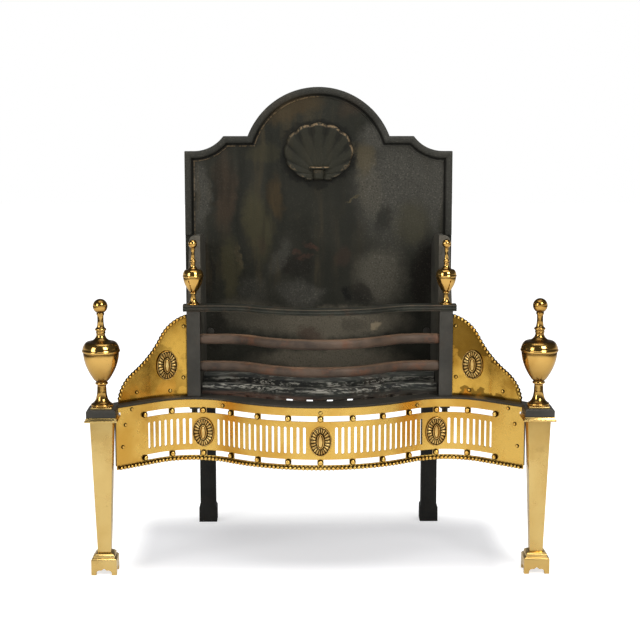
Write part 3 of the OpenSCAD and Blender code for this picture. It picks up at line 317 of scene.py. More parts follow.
# the rest of the fireback's look: tones as lit, how much the light lifts them, and places in metres
castLook = {"pale": (54, 53, 45), "deep": (44, 44, 37), "streakPale": (82, 72, 52),
            "streakDeep": (34, 34, 28), "halo": (28, 28, 24), "shell": (57, 56, 46), "rim": (72, 71, 66),
            "sandPale": (132, 127, 114), "sandDeep": (30, 29, 26), "chips": (176, 148, 112),
            "grime": (24, 24, 21), "gain": 1.3, "glow": 0.006, "haloAt": (0, 0, 0.665),
            "haloHalf": (0.064, 1000, 0.054), "rearFrom": (0.139, 0.143), "grain": 420.0}


def castBack():
    # sand-cast plate: dark iron, ragged stains over each other with a painted shadow and painted light among
    # them, and a fine grain where a stain has it
    f = Finish(bpy.data.materials.new("back_iron"))
    spot, look = f.place(), castLook

    def pushed(vector, scale, reach):
        # the vector moved about by a coloured noise, up to half of reach each way
        swirl = f.vector("SUBTRACT", f.noise(spot, scale, 4.0, 0.6, "Color"), (0.5, 0.5, 0.5))
        shift = f.make("ShaderNodeVectorMath", {"operation": "SCALE"}, {"Vector": swirl, "Scale": reach})
        return f.vector("ADD", vector, shift)

    def lit(colour):
        # the base colour that shows as this display colour in the studio's light
        return tuple(max((c - look["glow"]) / look["gain"], 0) for c in tint(colour)[:3]) + (1.0,)

    bent = pushed(pushed(spot, 14.0, 0.045), 100.0, 0.018)
    plain = f.mix(f.noise(spot, 9.0, 5.0, 0.6).step(0.35, 0.7), lit(look["deep"]), lit(look["pale"]))
    base, sandy = plain, (0.15, 0.15, 0.15, 1)
    for x, z, halfX, halfZ, turn, tone, strength in backStains:
        size = (halfX * mm, 1000, halfZ * mm)
        local = f.mapped(bent, (x * mm, 0, z * mm), (0, math.radians(turn), 0), size)
        reach = f.vector("LENGTH", local, None, "Value").step(0.45, 1.15, strength, 0.0)
        shown, share = backTones[tone]
        base = f.mix(reach, base, lit(shown))
        sandy = f.mix(reach, sandy, (share,) * 3 + (1,))
    streaks = f.noise(f.mapped(pushed(spot, 14.0, 0.012), scale=(1.0, 1.0, 8.0)), 50.0, 3.0, 0.55)
    left = f.axis(spot, "X").step(-0.05, 0.08, 0.5, 0.12) * f.axis(spot, "Z").step(0.40, 0.46)
    base = f.mix(streaks.step(0.5, 0.75) * left, base, lit(look["streakPale"]))
    base = f.mix(streaks.step(0.28, 0.5, 1.0, 0.0) * left, base, lit(look["streakDeep"]))
    shell, rim = f.attribute("shell"), f.attribute("rim")
    # painted shadow: a dark ring on the plate round the shell
    halo = f.vector("LENGTH", f.mapped(bent, look["haloAt"], scale=look["haloHalf"]), None, "Value")
    base = f.mix(halo.step(1.0, 1.13, 0.75, 0.0) * (1 - shell), base, lit(look["halo"]))
    base = f.mix(f.axis(spot, "Y").step(*look["rearFrom"]), base, plain)
    base = f.mix(shell * 0.7, base, lit(look["shell"]))
    base = f.mix(rim * 0.55, base, lit(look["rim"]))
    sandy = f.mix(rim, sandy, (0.5, 0.5, 0.5, 1))
    grain = f.noise(spot, look["grain"], 3.0, 0.6)
    # light specks of the grain: pale sand with painted glint, most on the stains that have a full share of
    # grain
    base = f.mix(grain.step(0.54, 0.72) * sandy * 0.5, base, lit(look["sandPale"]))
    base = f.mix(grain.step(0.30, 0.47, 1.0, 0.0) * sandy * 0.6, base, lit(look["sandDeep"]))
    # painted highlight in a pale tan, broken up by noise, where the attribute says: the shell's top edge, rib
    # crests and hinge bar, and the rim's light line
    chips = f.noise(spot, 240.0, 3.0).step(0.40, 0.56)
    base = f.mix(f.attribute("wear") * chips, base, lit(look["chips"]))
    # darker in the rim's groove, and painted shade in the shell's valleys and under its top edge
    base = f.mix(f.attribute("grime"), base, lit(look["grime"]))
    normal = f.bump(grain, 0.0012, 0.6, f.bump(f.noise(spot, 60.0, 4.0), 0.003, 0.3))
    return f.surface(Base_Color=base, Metallic=0.0, Roughness=grain * 0.2 + 0.5, Normal=normal,
                     Specular_IOR_Level=0.2)


ironBack = castBack()
print("iron finishes made")

# Meshes


def gridFaces(rows, columns, closed=False):
    # quads of a grid of points, row by row; closed joins the last column to the first
    row = np.arange(rows - 1)[:, None] * columns
    column = np.arange(columns if closed else columns - 1)[None, :]
    a = row + column
    b = row + (column + 1) % columns
    return np.stack([a, b, b + columns, a + columns], -1).reshape(-1, 4)


def part(grid, closed=False, **values):
    # a grid of points in mm as part of a piece: with its quads, and its attributes by name
    return grid, gridFaces(*grid.shape[:2], closed), values


def newObject(name, data):
    thing = bpy.data.objects.new(name, data)
    bpy.context.scene.collection.objects.link(thing)
    return thing


def addPiece(name, node, mesh, finish, body="basket"):
    # a mesh as a piece: it rides on its body, has its finish and stands for its CAD node
    piece = newObject(name, mesh)
    mesh.materials.append(finish)
    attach(piece, body)
    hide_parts(node)


def surfacePiece(name, node, parts, finish, sharp=40.0):
    # the parts as one mesh, welded, turned outwards and shaded smooth up to the angle sharp
    points, quads, attributes, start = [], [], {}, 0
    total = sum(p[0][..., 0].size for p in parts)
    for grid, faces, values in parts:
        flat = grid.reshape(-1, 3)
        points.append(flat)
        quads.append(faces + start)
        for key, value in values.items():
            field = attributes.setdefault(key, np.zeros(total))
            field[start:start + len(flat)] = np.broadcast_to(value, grid.shape[:-1]).ravel()
        start += len(flat)
    mesh = bpy.data.meshes.new(name)
    mesh.from_pydata((np.concatenate(points) * mm).tolist(), [], np.concatenate(quads).tolist())
    for key, value in attributes.items():
        mesh.attributes.new(key, "FLOAT", "POINT").data.foreach_set("value", value.astype(np.float32))
    bm = bmesh.new()
    bm.from_mesh(mesh)
    bmesh.ops.remove_doubles(bm, verts=bm.verts, dist=2e-6)
    bmesh.ops.recalc_face_normals(bm, faces=bm.faces)
    bm.to_mesh(mesh)
    bm.free()
    mesh.shade_smooth()
    mesh.set_sharp_from_angle(angle=math.radians(sharp))
    addPiece(name, node, mesh, finish)


def capped(rows):
    # adds a row at each end where the whole ring meets in its own middle, so that the tube is closed
    first = np.broadcast_to(rows[0].mean(0), rows[0].shape)
    last = np.broadcast_to(rows[-1].mean(0), rows[-1].shape)
    return np.concatenate([first[None], rows, last[None]])


def turned(profile, count):
    # profile (radius, height) turned about the upright axis: radius cos, radius sin, height
    turn = np.linspace(0, tau, count, endpoint=False)
    radius, height = profile[:, :1], np.broadcast_to(profile[:, 1:], (len(profile), count))
    return np.stack([radius * np.cos(turn), radius * np.sin(turn), height], -1)


def quad(a, b, c, count):
    # curve that leaves a towards b and arrives at c from b: the three blended by (1-t)^2, 2t(1-t) and t^2
    t = np.linspace(0, 1, count)[:, None]
    a, b, c = (np.array(p, float) for p in (a, b, c))
    return (1 - t) ** 2 * a + 2 * t * (1 - t) * b + t * t * c


def arcAt(centre, radius, start, end, count):
    # points round centre from the angle start to the angle end, in degrees
    turn = np.radians(np.linspace(start, end, count))[:, None]
    return np.array(centre, float) + radius * np.concatenate([np.cos(turn), np.sin(turn)], 1)


def grooves(profile, reach, depth):
    # 1 where a turned profile dips below what lies within reach of it along the height
    near = np.abs(profile[:, None, 1] - profile[None, :, 1]) < reach
    highest = np.where(near, profile[None, :, 0], 0).max(1)
    return np.clip((highest - profile[:, 0] - 0.3) / depth, 0, 1)


# Cast fireback

back = {"side": 233.0, "bottom": 250.0, "corner": 666.5, "shoulder": 692.5, "shoulderIn": 67.0,
        "coveRun": 52.0, "archRadius": 132.2, "top": 777.5, "face": 132.75, "rear": 146.75,
        "rimFoot": 521.5, "fieldInset": 18.5, "fieldRows": 100, "fieldTall": 400.0, "seat": 1.5, "lap": 1.6}
shellShape = {"hinge": 625.0, "width": 121.0, "height": 92.0, "rise": 40.0, "relief": 9.0, "ribs": 13,
              "sweep": 118.0, "scallop": 0.035}
# blocks at the shell's hinge: width, height, x, z above the hinge, relief and painted highlight on the top
shellBlocks = [(19.0, 20.0, 0, 2, 9, 0.1), (36.0, 4.5, 1, 13, 11, 0.7), (14.0, 12.0, -17, -3, 6, 0),
               (14.0, 12.0, 17, -3, 6, 0)]


def backOutline(inset):
    # right foot of the rim, up the side, hollow cove, shoulder, arch and down the left: rows of (x, z)
    rise, run = back["shoulder"] - back["corner"], back["coveRun"]
    coveRadius = run / math.sin(2 * math.atan(rise / run))
    side, radius = back["side"] - inset, back["archRadius"] - inset
    archZ = back["top"] - back["archRadius"]
    half = math.degrees(math.acos((back["shoulder"] - inset - archZ) / radius))
    coveX = back["side"] - back["shoulderIn"] + run
    coveZ = back["corner"] + coveRadius
    cove = math.degrees(math.acos((coveZ - back["shoulder"] + inset) / (coveRadius + inset)))
    right = arcAt((coveX, coveZ), coveRadius + inset, -90, -90 - cove, 14)
    arch = arcAt((0, archZ), radius, 90 - half, 90 + half, 90)
    key = np.concatenate([[[side, back["rimFoot"]], [side, back["corner"] - inset]], right])
    between = np.linspace(key[-1], arch[0], 12)[1:-1]
    sideRows = [np.linspace(key[0], key[1], 30)[:-1], np.linspace(key[1], key[2], 6)[:-1]]
    rightHalf = np.concatenate(sideRows + [right, between])
    return np.concatenate([rightHalf, arch, rightHalf[::-1] * [-1, 1]])


def standing(flat, y):
    # points (x, z) stood upright at depth y
    return np.insert(flat, 1, y, axis=-1)


def rimParts():
    # moulded band round the plate's edge: the outline moved in step by step, with a height for each step
    face = back["face"]
    section = np.array([(0, 1.6), (0, -3.2), (0.6, -4.8), (2.0, -5.8), (4.0, -6.2), (7.0, -6.0), (9.5, -5.2),
                        (11.4, -3.6), (12.6, -1.2), (13.4, 0.7), (14.8, 0.8), (15.8, -0.3), (16.8, -0.7),
                        (18.2, -0.2), (19.0, 1.6)])
    rings = np.stack([standing(backOutline(e), face + y) for e, y in section], 1)
    rows = capped(rings)
    x, z = rows[:, :1, 0], rows[:, :1, 2]
    faint = 1 - 0.8 * np.exp(-((x + 62) / 46) ** 2) * (z > 715)
    dark = np.clip(1.5 - np.abs(section[:, 0] - 13.6) / 2.0, 0, 1) * 0.8 * faint
    light = np.where((section[:, 0] > 15.5) & (section[:, 0] < 17.5), 0.3, 0.0) * (x < 0)
    return [part(rows, True, grime=dark, wear=light, rim=section[:, 0] < 12)]


def plateParts():
    # the plate itself: a closed slab behind, and in front of it a field made slightly uneven by crossed sines
    side, bottom, face, rear = (back[k] for k in ("side", "bottom", "face", "rear"))
    inset, count, seat, lap = (back[k] for k in ("fieldInset", "fieldRows", "seat", "lap"))
    outline = np.concatenate([[[side, bottom]], backOutline(0), [[-side, bottom]]])
    floor = outline * [1, 0] + [0, bottom]
    slab = np.stack([standing(floor, face + seat), standing(outline, face + seat), standing(outline, rear),
                     standing(floor, rear)])
    parts = [part(slab), part(np.stack([slab[3], slab[0]]))]
    inner = backOutline(inset)
    top = inner[inner[:, 1] > back["corner"] - inset - 0.5]
    share = np.linspace(0, 1, count)[:, None]
    x = np.broadcast_to(top[:, 0], (count, len(top)))
    z = bottom + share * (top[:, 1] - bottom)
    edge = np.minimum(np.minimum(side - inset - np.abs(x), z - bottom), (1 - share) * back["fieldTall"])
    uneven = 0.7 * np.sin(x / 31 + z / 47) * np.sin(z / 39 - x / 70)
    uneven += 0.4 * np.sin(x / 13 + 1.3) * np.sin(z / 17)
    field = np.stack([x, face + uneven * np.clip(edge / 30, 0, 1), z], -1)
    ring = np.concatenate([field[0], field[1:, -1], field[-1, -2::-1], field[-2:0:-1, 0]])
    deep = ring * [1, 0, 1] + [0, face + lap, 0]
    parts += [part(field), part(np.stack([ring, deep]), True)]
    for sign in sides.values():
        near, far, foot = sign * (side - inset), sign * side, back["rimFoot"]
        strip = [[[near, face, z], [far, face, z]] for z in (bottom, foot + 1)]
        wall = [[[far, y, bottom], [far, y, foot]] for y in (face, face + lap)]
        parts += [part(np.array(strip)), part(np.array(wall))]
    return parts


def shellParts():
    # scallop shell: direction from the hinge by share of the way to an oval's scalloped edge, dished, ribbed
    s = shellShape
    turn = np.radians(np.linspace(-s["sweep"], s["sweep"], s["ribs"] * 10 + 1))[None, :]
    rib = np.abs(np.sin((turn / math.radians(s["sweep"]) + 1) * s["ribs"] * math.pi / 2))
    a = s["width"] / 2 / (1 + s["scallop"])
    b = s["height"] / (1 + s["scallop"]) - s["rise"]
    p = (np.sin(turn) / a) ** 2 + (np.cos(turn) / b) ** 2
    q = np.cos(turn) * s["rise"] / b ** 2
    reach = (q + np.sqrt(q * q - p * ((s["rise"] / b) ** 2 - 1))) / p * (1 + s["scallop"] * rib)
    share = np.concatenate([np.linspace(0.10, 0.94, 26), [0.965, 0.985, 0.997, 1.0, 1.0]])[:, None]
    lift = (0.30 + 0.62 * share ** 1.6) * (0.80 + 0.20 * rib ** 0.7)
    fall = np.sqrt(np.clip(1 - ((share - 0.94) / 0.06).clip(0, 1) ** 2, 0, 1))
    y = back["face"] + 1.2 - (1.2 + s["relief"] * lift * fall)
    y[-1] = back["face"] + 1.5
    x = reach * share * np.sin(turn)
    z = s["hinge"] + reach * share * np.cos(turn)
    grid = np.stack([x, np.broadcast_to(y, x.shape), z], -1)
    # painted highlight: a thin light line along the top of the scalloped edge, and faint light strokes on rib
    # crests at the sides
    top = np.clip(2.6 - np.abs(turn - 0.25) / 0.42, 0, 1)
    edge = np.clip(1 - np.abs(share - 0.975) / 0.025, 0, 1) * top
    strokes = 0.2 * (share > 0.80) * (rib > 0.75) * (np.abs(turn) > 1.1)
    edge = np.maximum(edge, strokes)
    # painted shade: darker in the rib valleys towards the edge, and a painted shadow band just inside the top
    # edge
    band = 0.5 * (share > 0.78) * (share < 0.95) * top * (rib < 0.7)
    valley = np.maximum((1 - rib) ** 2 * 0.7 * np.clip((share - 0.5) / 0.3, 0, 1), band)
    parts = [part(grid, wear=edge, grime=valley, shell=1)]
    gx, gz = np.meshgrid(np.linspace(-1, 1, 21), np.linspace(-1, 1, 21))
    bulge = np.clip((1 - np.abs(gx) ** 6) * (1 - np.abs(gz) ** 6), 0, 1) ** 0.4
    # each block gets a painted highlight on its top, as strong as its last number
    for w, h, cx, up, high, worn in shellBlocks:
        cz = up + s["hinge"]
        pillow = np.stack([cx + gx * w / 2, back["face"] + 1.4 - (high + 1.4) * bulge, cz + gz * h / 2], -1)
        parts.append(part(pillow, wear=worn * (gz > 0.3) * (bulge > 0.5), shell=1))
    return parts


surfacePiece("fireback_casting", "fireback", rimParts() + plateParts() + shellParts(), ironBack,
             50)
print("fireback made")

# Basket rails

basket = {"halfClear": 198.0, "run": 165.0, "uprightY": -44.25, "barY": -45.75, "topBow": 54.0,
          "barBow": 64.0, "barRadius": 8.75, "barInto": 6.0, "railEnd": 226.0, "railDepth": 24.0,
          "railHeight": 10.5, "railFoot": 413.0, "barHeights": (321.0, 366.5)}


def bowLine(bow, y, end):
    # plan of a basket bar, rows of (x, y, heading): straight end, reversed arc, forward arc, and back again
    turn = 2 * math.atan(bow / basket["run"])
    total = basket["run"] / math.sin(turn)
    mid, side = 0.63 * total, 0.37 * total
    t = np.linspace(0, turn, 18)
    bend = np.stack([basket["run"] - side * np.sin(t), y - side * (1 - np.cos(t)), t], 1)
    t = np.linspace(-turn, turn, 61)[1:-1]
    middle = np.stack([mid * np.sin(t), y - bow + mid * (1 - np.cos(t)), t], 1)
    straight = np.linspace(end, basket["run"], 10)[:-1]
    run = np.stack([straight, np.full(9, y), np.zeros(9)], 1)
    right = np.concatenate([run, bend])
    left = right * [-1, 1, -1]
    return np.concatenate([left, middle, right[::-1]])


def swept(line, section, scale=None):
    # section (back, up) carried along the line; scale gives the section's size at each point of it
    size = np.ones(len(line)) if scale is None else scale
    backwards = section[None, :, 0] * size[:, None]
    up = section[None, :, 1] * size[:, None]
    x = line[:, 0, None] - backwards * np.sin(line[:, 2, None])
    y = line[:, 1, None] + backwards * np.cos(line[:, 2, None])
    return np.stack([x, y, up], -1)


def topRail():
    # flat bar with a bead, a hollow and a reed along its front edge
    d, h = basket["railDepth"] / 2, basket["railHeight"]
    reeds = np.concatenate([
        arcAt((1.6 - d, h - 1.5), 1.5, 90, 215, 7),
        quad((0.9 - d, h - 2.6), (2.0 - d, h - 3.4), (1.2 - d, h - 4.0), 4),
        arcAt((2.2 - d, h - 6.1), 2.2, 110, 250, 9), arcAt((1.9 - d, 1.4), 1.4, 150, 270, 7)])
    rear = [arcAt((d - 1.2, 1.2), 1.2, -90, 0, 4), arcAt((d - 1.2, h - 1.2), 1.2, 0, 90, 4)]
    section = np.concatenate(rear + [reeds])
    rows = swept(bowLine(basket["topBow"], basket["uprightY"], basket["railEnd"]), section)
    rows[..., 2] += basket["railFoot"]
    rows = capped(rows)
    worn = 0.6 * (section[:, 0] < 1 - d) * (np.abs(section[:, 1] - h / 2) > h / 2 - 0.9)
    surfacePiece("top_rail_reeded", "top_rail", [part(rows, True, wear=worn)], ironRail, 55)


def roundBar(name, node, height):
    # round bar, a little flat on top, necked in where it meets the uprights, with a slight wave in its height
    turn = np.linspace(0, tau, 28, endpoint=False)
    radius, clear, into = (basket[k] for k in ("barRadius", "halfClear", "barInto"))
    flatter = np.where(np.sin(turn) > 0, 0.96, 1)
    section = np.stack([radius * np.cos(turn), radius * np.sin(turn) * flatter], 1)
    line = bowLine(basket["barBow"], basket["barY"], clear + into + 0.5)
    inner = line[np.abs(line[:, 0]) < clear - into - 0.5]
    ends = np.linspace((clear + into, basket["barY"], 0), (clear - into, basket["barY"], 0), 14)
    line = np.concatenate([ends * [-1, 1, 1], inner, ends[::-1]])
    necked = np.clip((np.abs(line[:, 0]) - (clear - 4.5)) / 4.0, 0, 1)
    rows = swept(line, section, 0.88 + 0.12 * np.sqrt(1 - necked ** 2))
    wobble = 0.22 * np.sin(line[:, 0] / 23) * np.sin(line[:, 0] / 9 + height)
    rows[..., 2] += height + wobble[:, None] * (necked[:, None] == 0)
    rows = capped(rows)
    # a lighter tone along the bar's top, a little to the front
    worn = np.clip((np.cos(turn - 1.75) - 0.86) / 0.1, 0, 1)
    surfacePiece(name, node, [part(rows, True, wear=worn)], ironBar)


topRail()
roundBar("lower_bar_round", "lower_bar", basket["barHeights"][0])
roundBar("upper_bar_round", "upper_bar", basket["barHeights"][1])
print("basket rails made")

# Urns

urns = {"large": {"height": 173.0, "width": 61.0, "ball": 23.4, "rim": 0.519, "count": 72},
        "small": {"height": 108.0, "width": 35.0, "ball": 14.6, "rim": 0.44, "count": 56,
                  "stem": (3.45, -21.3)},
        "legX": 350.0, "legY": -151.75, "plinthTop": 275.4, "uprightX": 209.0, "railTop": 423.5}


def urnProfile(shape):
    # turned urn as (radius, height): foot, stem and collar, bowl, edge, domed cover, neck, ring and ball
    h, r, ball = shape["height"], shape["width"] / 2, shape["ball"] / 2
    wide, rim, ring = shape["rim"], 0.519, 0.0115 * shape["height"]

    def up(t):
        # height of the usual urn's level t when its rim is raised or lowered to wide
        return h * (t * wide / rim if t < rim else 1 - (1 - t) * (1 - wide) / (1 - rim))

    def at(share, t):
        return [share * r, up(t)]
    return np.concatenate([
        [[0, 0], at(0.52, 0)], arcAt(at(0.515, 0.012), 0.012 * h, -70, 70, 8), [at(0.48, 0.028)],
        quad(at(0.48, 0.030), at(0.25, 0.058), at(0.245, 0.160), 16),
        [at(0.235, 0.185), at(0.235, 0.196)], arcAt(at(0.27, 0.214), ring, -75, 75, 10),
        quad(at(0.29, 0.232), at(0.37, 0.240), at(0.44, 0.258), 8),
        quad(at(0.47, 0.266), at(0.86, 0.370), at(0.925, 0.470), 22),
        [at(0.94, 0.500), at(0.935, 0.503), at(0.975, 0.506)],
        arcAt([r - ring, up(rim)], ring, -45, 60, 10),
        quad(at(0.955, 0.545), at(0.86, 0.600), at(0.66, 0.604), 12),
        quad(at(0.56, 0.606), at(0.28, 0.622), at(0.225, 0.668), 14),
        arcAt(at(0.225, 0.686), 0.5 * ring, -70, 70, 6), arcAt(at(0.235, 0.717), ring, -80, 80, 10),
        quad(at(0.21, 0.736), at(0.145, 0.770), at(0.165, 0.845), 14),
        [at(0.205, 0.855), at(0.205, 0.868)], arcAt([0, h - ball], ball, -62, 90, 24)])


def urn(name, node, shape, at):
    # the profile turned about its axis, dirty in its grooves; a small urn's stem reaches down into the rail
    profile = urnProfile(shape)
    if "stem" in shape:
        radius, foot = shape["stem"]
        profile = np.concatenate([[[0, foot], [radius, foot], [radius, 0]], profile[1:]])
    rows = turned(profile, shape["count"]) + at
    dirtAndShade = grooves(profile, 0.014 * shape["height"], 1.6)[:, None] * 0.8
    surfacePiece(name, node, [part(rows, True, grime=dirtAndShade)], brassUrn, 60)


for side, sign in sides.items():
    urn(f"urn_{side}", f"finial_{side}", urns["large"],
        (sign * urns["legX"], urns["legY"], urns["plinthTop"]))
    urn(f"small_urn_{side}", f"small_finial_{side}", urns["small"],
        (sign * urns["uprightX"], basket["uprightY"], urns["railTop"]))
print("urns made")

# Brass front: the fret's line in plan

front = {"bow": 232.0, "dip": 93.0, "swing": math.radians(40), "crestY": -138.25, "runEnd": 329.45,
         "shut": 0.1, "studPitch": 52.8, "studSize": 10.3, "studLow": -8.4, "studRows": (249.5, 177.5),
         "ovalZ": 212.5, "ovalSize": (36.5, 49.0), "petals": 22, "wingOval": (34.0, 53.0),
         "beadSize": 6.5, "beadPitch": 6.9, "beadZ": 168.25, "rivetSize": 6.0, "rivetTop": 259.5,
         "wingBack": 20.0, "wingHeight": 137.0, "wingIn": 220.1, "railTop": 270.0}
joinX = front["bow"] * math.sin(front["swing"])
joinY = front["crestY"] + front["bow"] * (1 - math.cos(front["swing"]))
hollowX = joinX + front["dip"] * math.sin(front["swing"])
hollowY = joinY + front["dip"] * (1 - math.cos(front["swing"]))
turnX = hollowX + front["dip"] * math.sin(front["swing"])
bowLength = front["bow"] * front["swing"]
dipLength = 2 * front["dip"] * front["swing"]
halfLength = bowLength + dipLength + (front["runEnd"] - turnX) / math.cos(front["swing"])


def fretFace(s, off=0.0):
    # place and heading at distance s along the fret's face: a forward arc, a reversed arc and a straight run
    a, side = np.abs(s), np.where(np.asarray(s) < 0, -1.0, 1.0)
    swing, bow, dip = front["swing"], front["bow"], front["dip"]
    rest = a - bowLength - dipLength
    heading = np.where(a <= bowLength, a / bow, np.where(rest <= 0, swing - (a - bowLength) / dip, -swing))
    x = np.where(a <= bowLength, bow * np.sin(heading),
                 np.where(rest <= 0, hollowX - dip * np.sin(heading), turnX + rest * math.cos(swing)))
    y = np.where(a <= bowLength, front["crestY"] + bow * (1 - np.cos(heading)),
                 np.where(rest <= 0, hollowY - dip * (1 - np.cos(heading)), joinY - rest * math.sin(swing)))
    return side * (x - off * np.sin(heading)), y + off * np.cos(heading), side * heading


def faceDistance(x, off):
    # distance along the face at which a surface off behind it reaches x, on the hollows and the straight runs
    radius = front["dip"] + off
    bendEnd = hollowX + radius * math.sin(front["swing"])
    angle = front["swing"] - np.arcsin(np.clip((hollowX - x) / radius, -1, 1))
    run = (x - bendEnd) / math.cos(front["swing"])
    return bowLength + np.where(x <= bendEnd, angle * front["dip"], dipLength + run)


def faceHeading(x, y):
    # heading of any surface that runs beside the fret's line, by its angle about the arcs' centres
    ax = np.abs(x)
    bow = np.arctan2(ax, front["crestY"] + front["bow"] - y)
    hollow = np.arctan2(hollowX - ax, y - (hollowY - front["dip"]))
    beyond = np.maximum(hollow, -front["swing"])
    return np.sign(x) * np.where(bow <= front["swing"], bow, beyond)


def onFace(local, s, z, off=0.0):
    # local points (along, back, up) set at distance s along the face; s may be an array of many places
    places = (*fretFace(np.atleast_1d(s), off), np.atleast_1d(z))
    x0, y0, h, up = (v.reshape((-1,) + (1,) * (local.ndim - 1)) for v in places)
    x = x0 + local[..., 0] * np.cos(h) - local[..., 1] * np.sin(h)
    y = y0 + local[..., 0] * np.sin(h) + local[..., 1] * np.cos(h)
    return np.stack(np.broadcast_arrays(x, y, local[..., 2] + up), -1)


def ornament(name, node, shape, s, z, off=0.0):
    # one small turned shape, a grid and its dirt and painted shade, set at many places along the face as one
    # piece
    grid, dirtAndShade = shape
    grids = onFace(grid, s, z, off)
    shifts = np.arange(len(grids))[:, None, None] * grid[..., 0].size
    quads = (gridFaces(*grid.shape[:2], True) + shifts).reshape(-1, 4)
    surfacePiece(name, node, [(grids, quads, {"grime": dirtAndShade})], brassBead)


def domeForward(profile, count):
    # profile turned about the line that points forward from the sheet: upright becomes forward
    return turned(profile, count)[..., [0, 2, 1]] * [1, -1, 1]


def studs():
    # round studs, darker at their edge as dirt and painted shade, at every place where an upper and a lower
    # opening meet
    r = front["studSize"] / 2
    foot = [[0, front["shut"] + r * r / (2 * front["dip"])]]
    profile = np.concatenate([foot, arcAt((0, 1), r, front["studLow"], 90, 14)])
    dirtAndShade = np.clip((profile[:, 0] / r - 0.62) / 0.18, 0, 1)[:, None]
    s = np.tile(np.arange(-6, 7) * front["studPitch"], 2)
    z = np.repeat(front["studRows"], 13)
    ornament("fret_ball_studs", "fret_studs", (domeForward(profile, 24), dirtAndShade), s, z)


def beadShape(size):
    # small ball as a turned half circle, with dirt and painted shade outside two thirds of its radius and
    # behind
    profile = arcAt((0, 0), size / 2, -90, 90, 10)
    profile[[0, -1], 0] = 0
    dirtAndShade = np.where(profile[:, 1] > 0, np.clip((profile[:, 0] / size * 2 - 0.66) / 0.2, 0, 1), 1)
    return domeForward(profile, 14), dirtAndShade[:, None]


def fretBeads():
    # beads at equal steps from the middle along the fret's lower edge, as many as fit
    size = front["beadSize"]
    n = int((halfLength - size / 2) / front["beadPitch"])
    s = np.arange(-n, n + 1) * front["beadPitch"]
    ornament("fret_beads", "fret_beading", beadShape(size), s, front["beadZ"], -size / 2 - front["shut"])


def rivetShape():
    # low round head in a ring of dirt and painted shade
    r = front["rivetSize"] / 2
    profile = np.concatenate([[[0, 0], [1.1 * r, 0], [1.1 * r, 0.15]], quad((r, 0.5), (r, 2.3), (0, 2.4), 8)])
    return domeForward(profile, 18), np.clip((profile[:, 0] / r - 0.6) / 0.25, 0, 1)[:, None]


def fretRivets():
    # rivets at distances along the fret and heights: one in the middle, the others on both halves
    side = [(176.0, front["rivetTop"]), (halfLength - 30, 262.0), (halfLength - 17, 238.0),
            (halfLength - 11.5, 202.0)]
    s, z = np.array([(0.0, front["rivetTop"])] + side + [(-s, z) for s, z in side]).T
    ornament("fret_rivet_heads", "fret_rivets", rivetShape(), s, z, -front["shut"])


def pateraGrid():
    # oval patera: height by distance from a short upright line, with a boss, a band, petals and a rim
    across, tall = front["ovalSize"]
    r, grow = across / 2, (tall - across) / 2
    share = np.concatenate([np.linspace(0, 0.22, 8), np.linspace(0.24, 0.36, 9), np.linspace(0.38, 0.90, 18),
                            np.linspace(0.91, 1.0, 8), [1.0]])[:, None]
    turn = np.linspace(0, tau, 144, endpoint=False)[None, :]
    boss = 3.4 * np.sqrt(np.clip(1 - (share / 0.205) ** 2, 0, 1)) ** 0.5
    band = 2.6 * np.sqrt(np.clip(1 - ((share - 0.295) / 0.05) ** 2, 0, 1))
    leaf = np.clip(np.sin((share - 0.40) / 0.48 * math.pi), 0, 1) ** 0.5
    petals = 2.0 * leaf * np.abs(np.cos(turn * front["petals"] / 2)) ** 1.5 * (share > 0.40) * (share < 0.88)
    rim = 2.2 * np.sqrt(np.clip(1 - ((share - 0.945) / 0.04) ** 2, 0, 1))
    lift = 0.7 + np.maximum(np.maximum(boss, band), np.maximum(petals, rim))
    lift[-1] = 0
    length = share * r
    x = length * np.cos(turn)
    z = (length + grow) * np.sin(turn)
    dirtAndShade = np.maximum(np.clip(1.5 - lift / 1.6, 0, 1), np.clip((share - 0.975) / 0.01, 0, 1))
    return np.stack([x, -lift, z], -1), dirtAndShade


def pateraParts(s, z, off):
    # a patera set at distance s along the face, with its flat back closed
    grid, dirtAndShade = pateraGrid()
    placed = onFace(grid, s, z, off)[0]
    under = placed[-1]
    middle = np.broadcast_to(under.mean(0), under.shape)
    return [part(placed, True, grime=dirtAndShade), part(np.stack([under, middle]), True)]


def hollowStand(radius):
    # how far a flat back stands off a hollow of that radius so that its sides clear it: width^2 / 8 radius
    return front["ovalSize"][0] ** 2 / (8 * radius) + front["shut"]


def paterae():
    # one in the middle of the bow, one in each hollow, and one on each wing
    sideS = 4 * front["studPitch"]
    stand = -hollowStand(front["dip"])
    parts = pateraParts(0.0, front["ovalZ"], -front["shut"])
    parts += pateraParts(sideS, front["ovalZ"], stand) + pateraParts(-sideS, front["ovalZ"], stand)
    surfacePiece("fret_ovals", "fret_paterae", parts, brassOval, 70)
    off = front["wingBack"] - hollowStand(front["dip"] + front["wingBack"])
    inwards, up = front["wingOval"]
    s = float(faceDistance(front["wingIn"] + inwards, front["wingBack"]))
    for side, sign in sides.items():
        parts = pateraParts(sign * s, front["railTop"] + up, off)
        surfacePiece(f"wing_oval_{side}", f"wing_patera_{side}", parts, brassOval, 70)


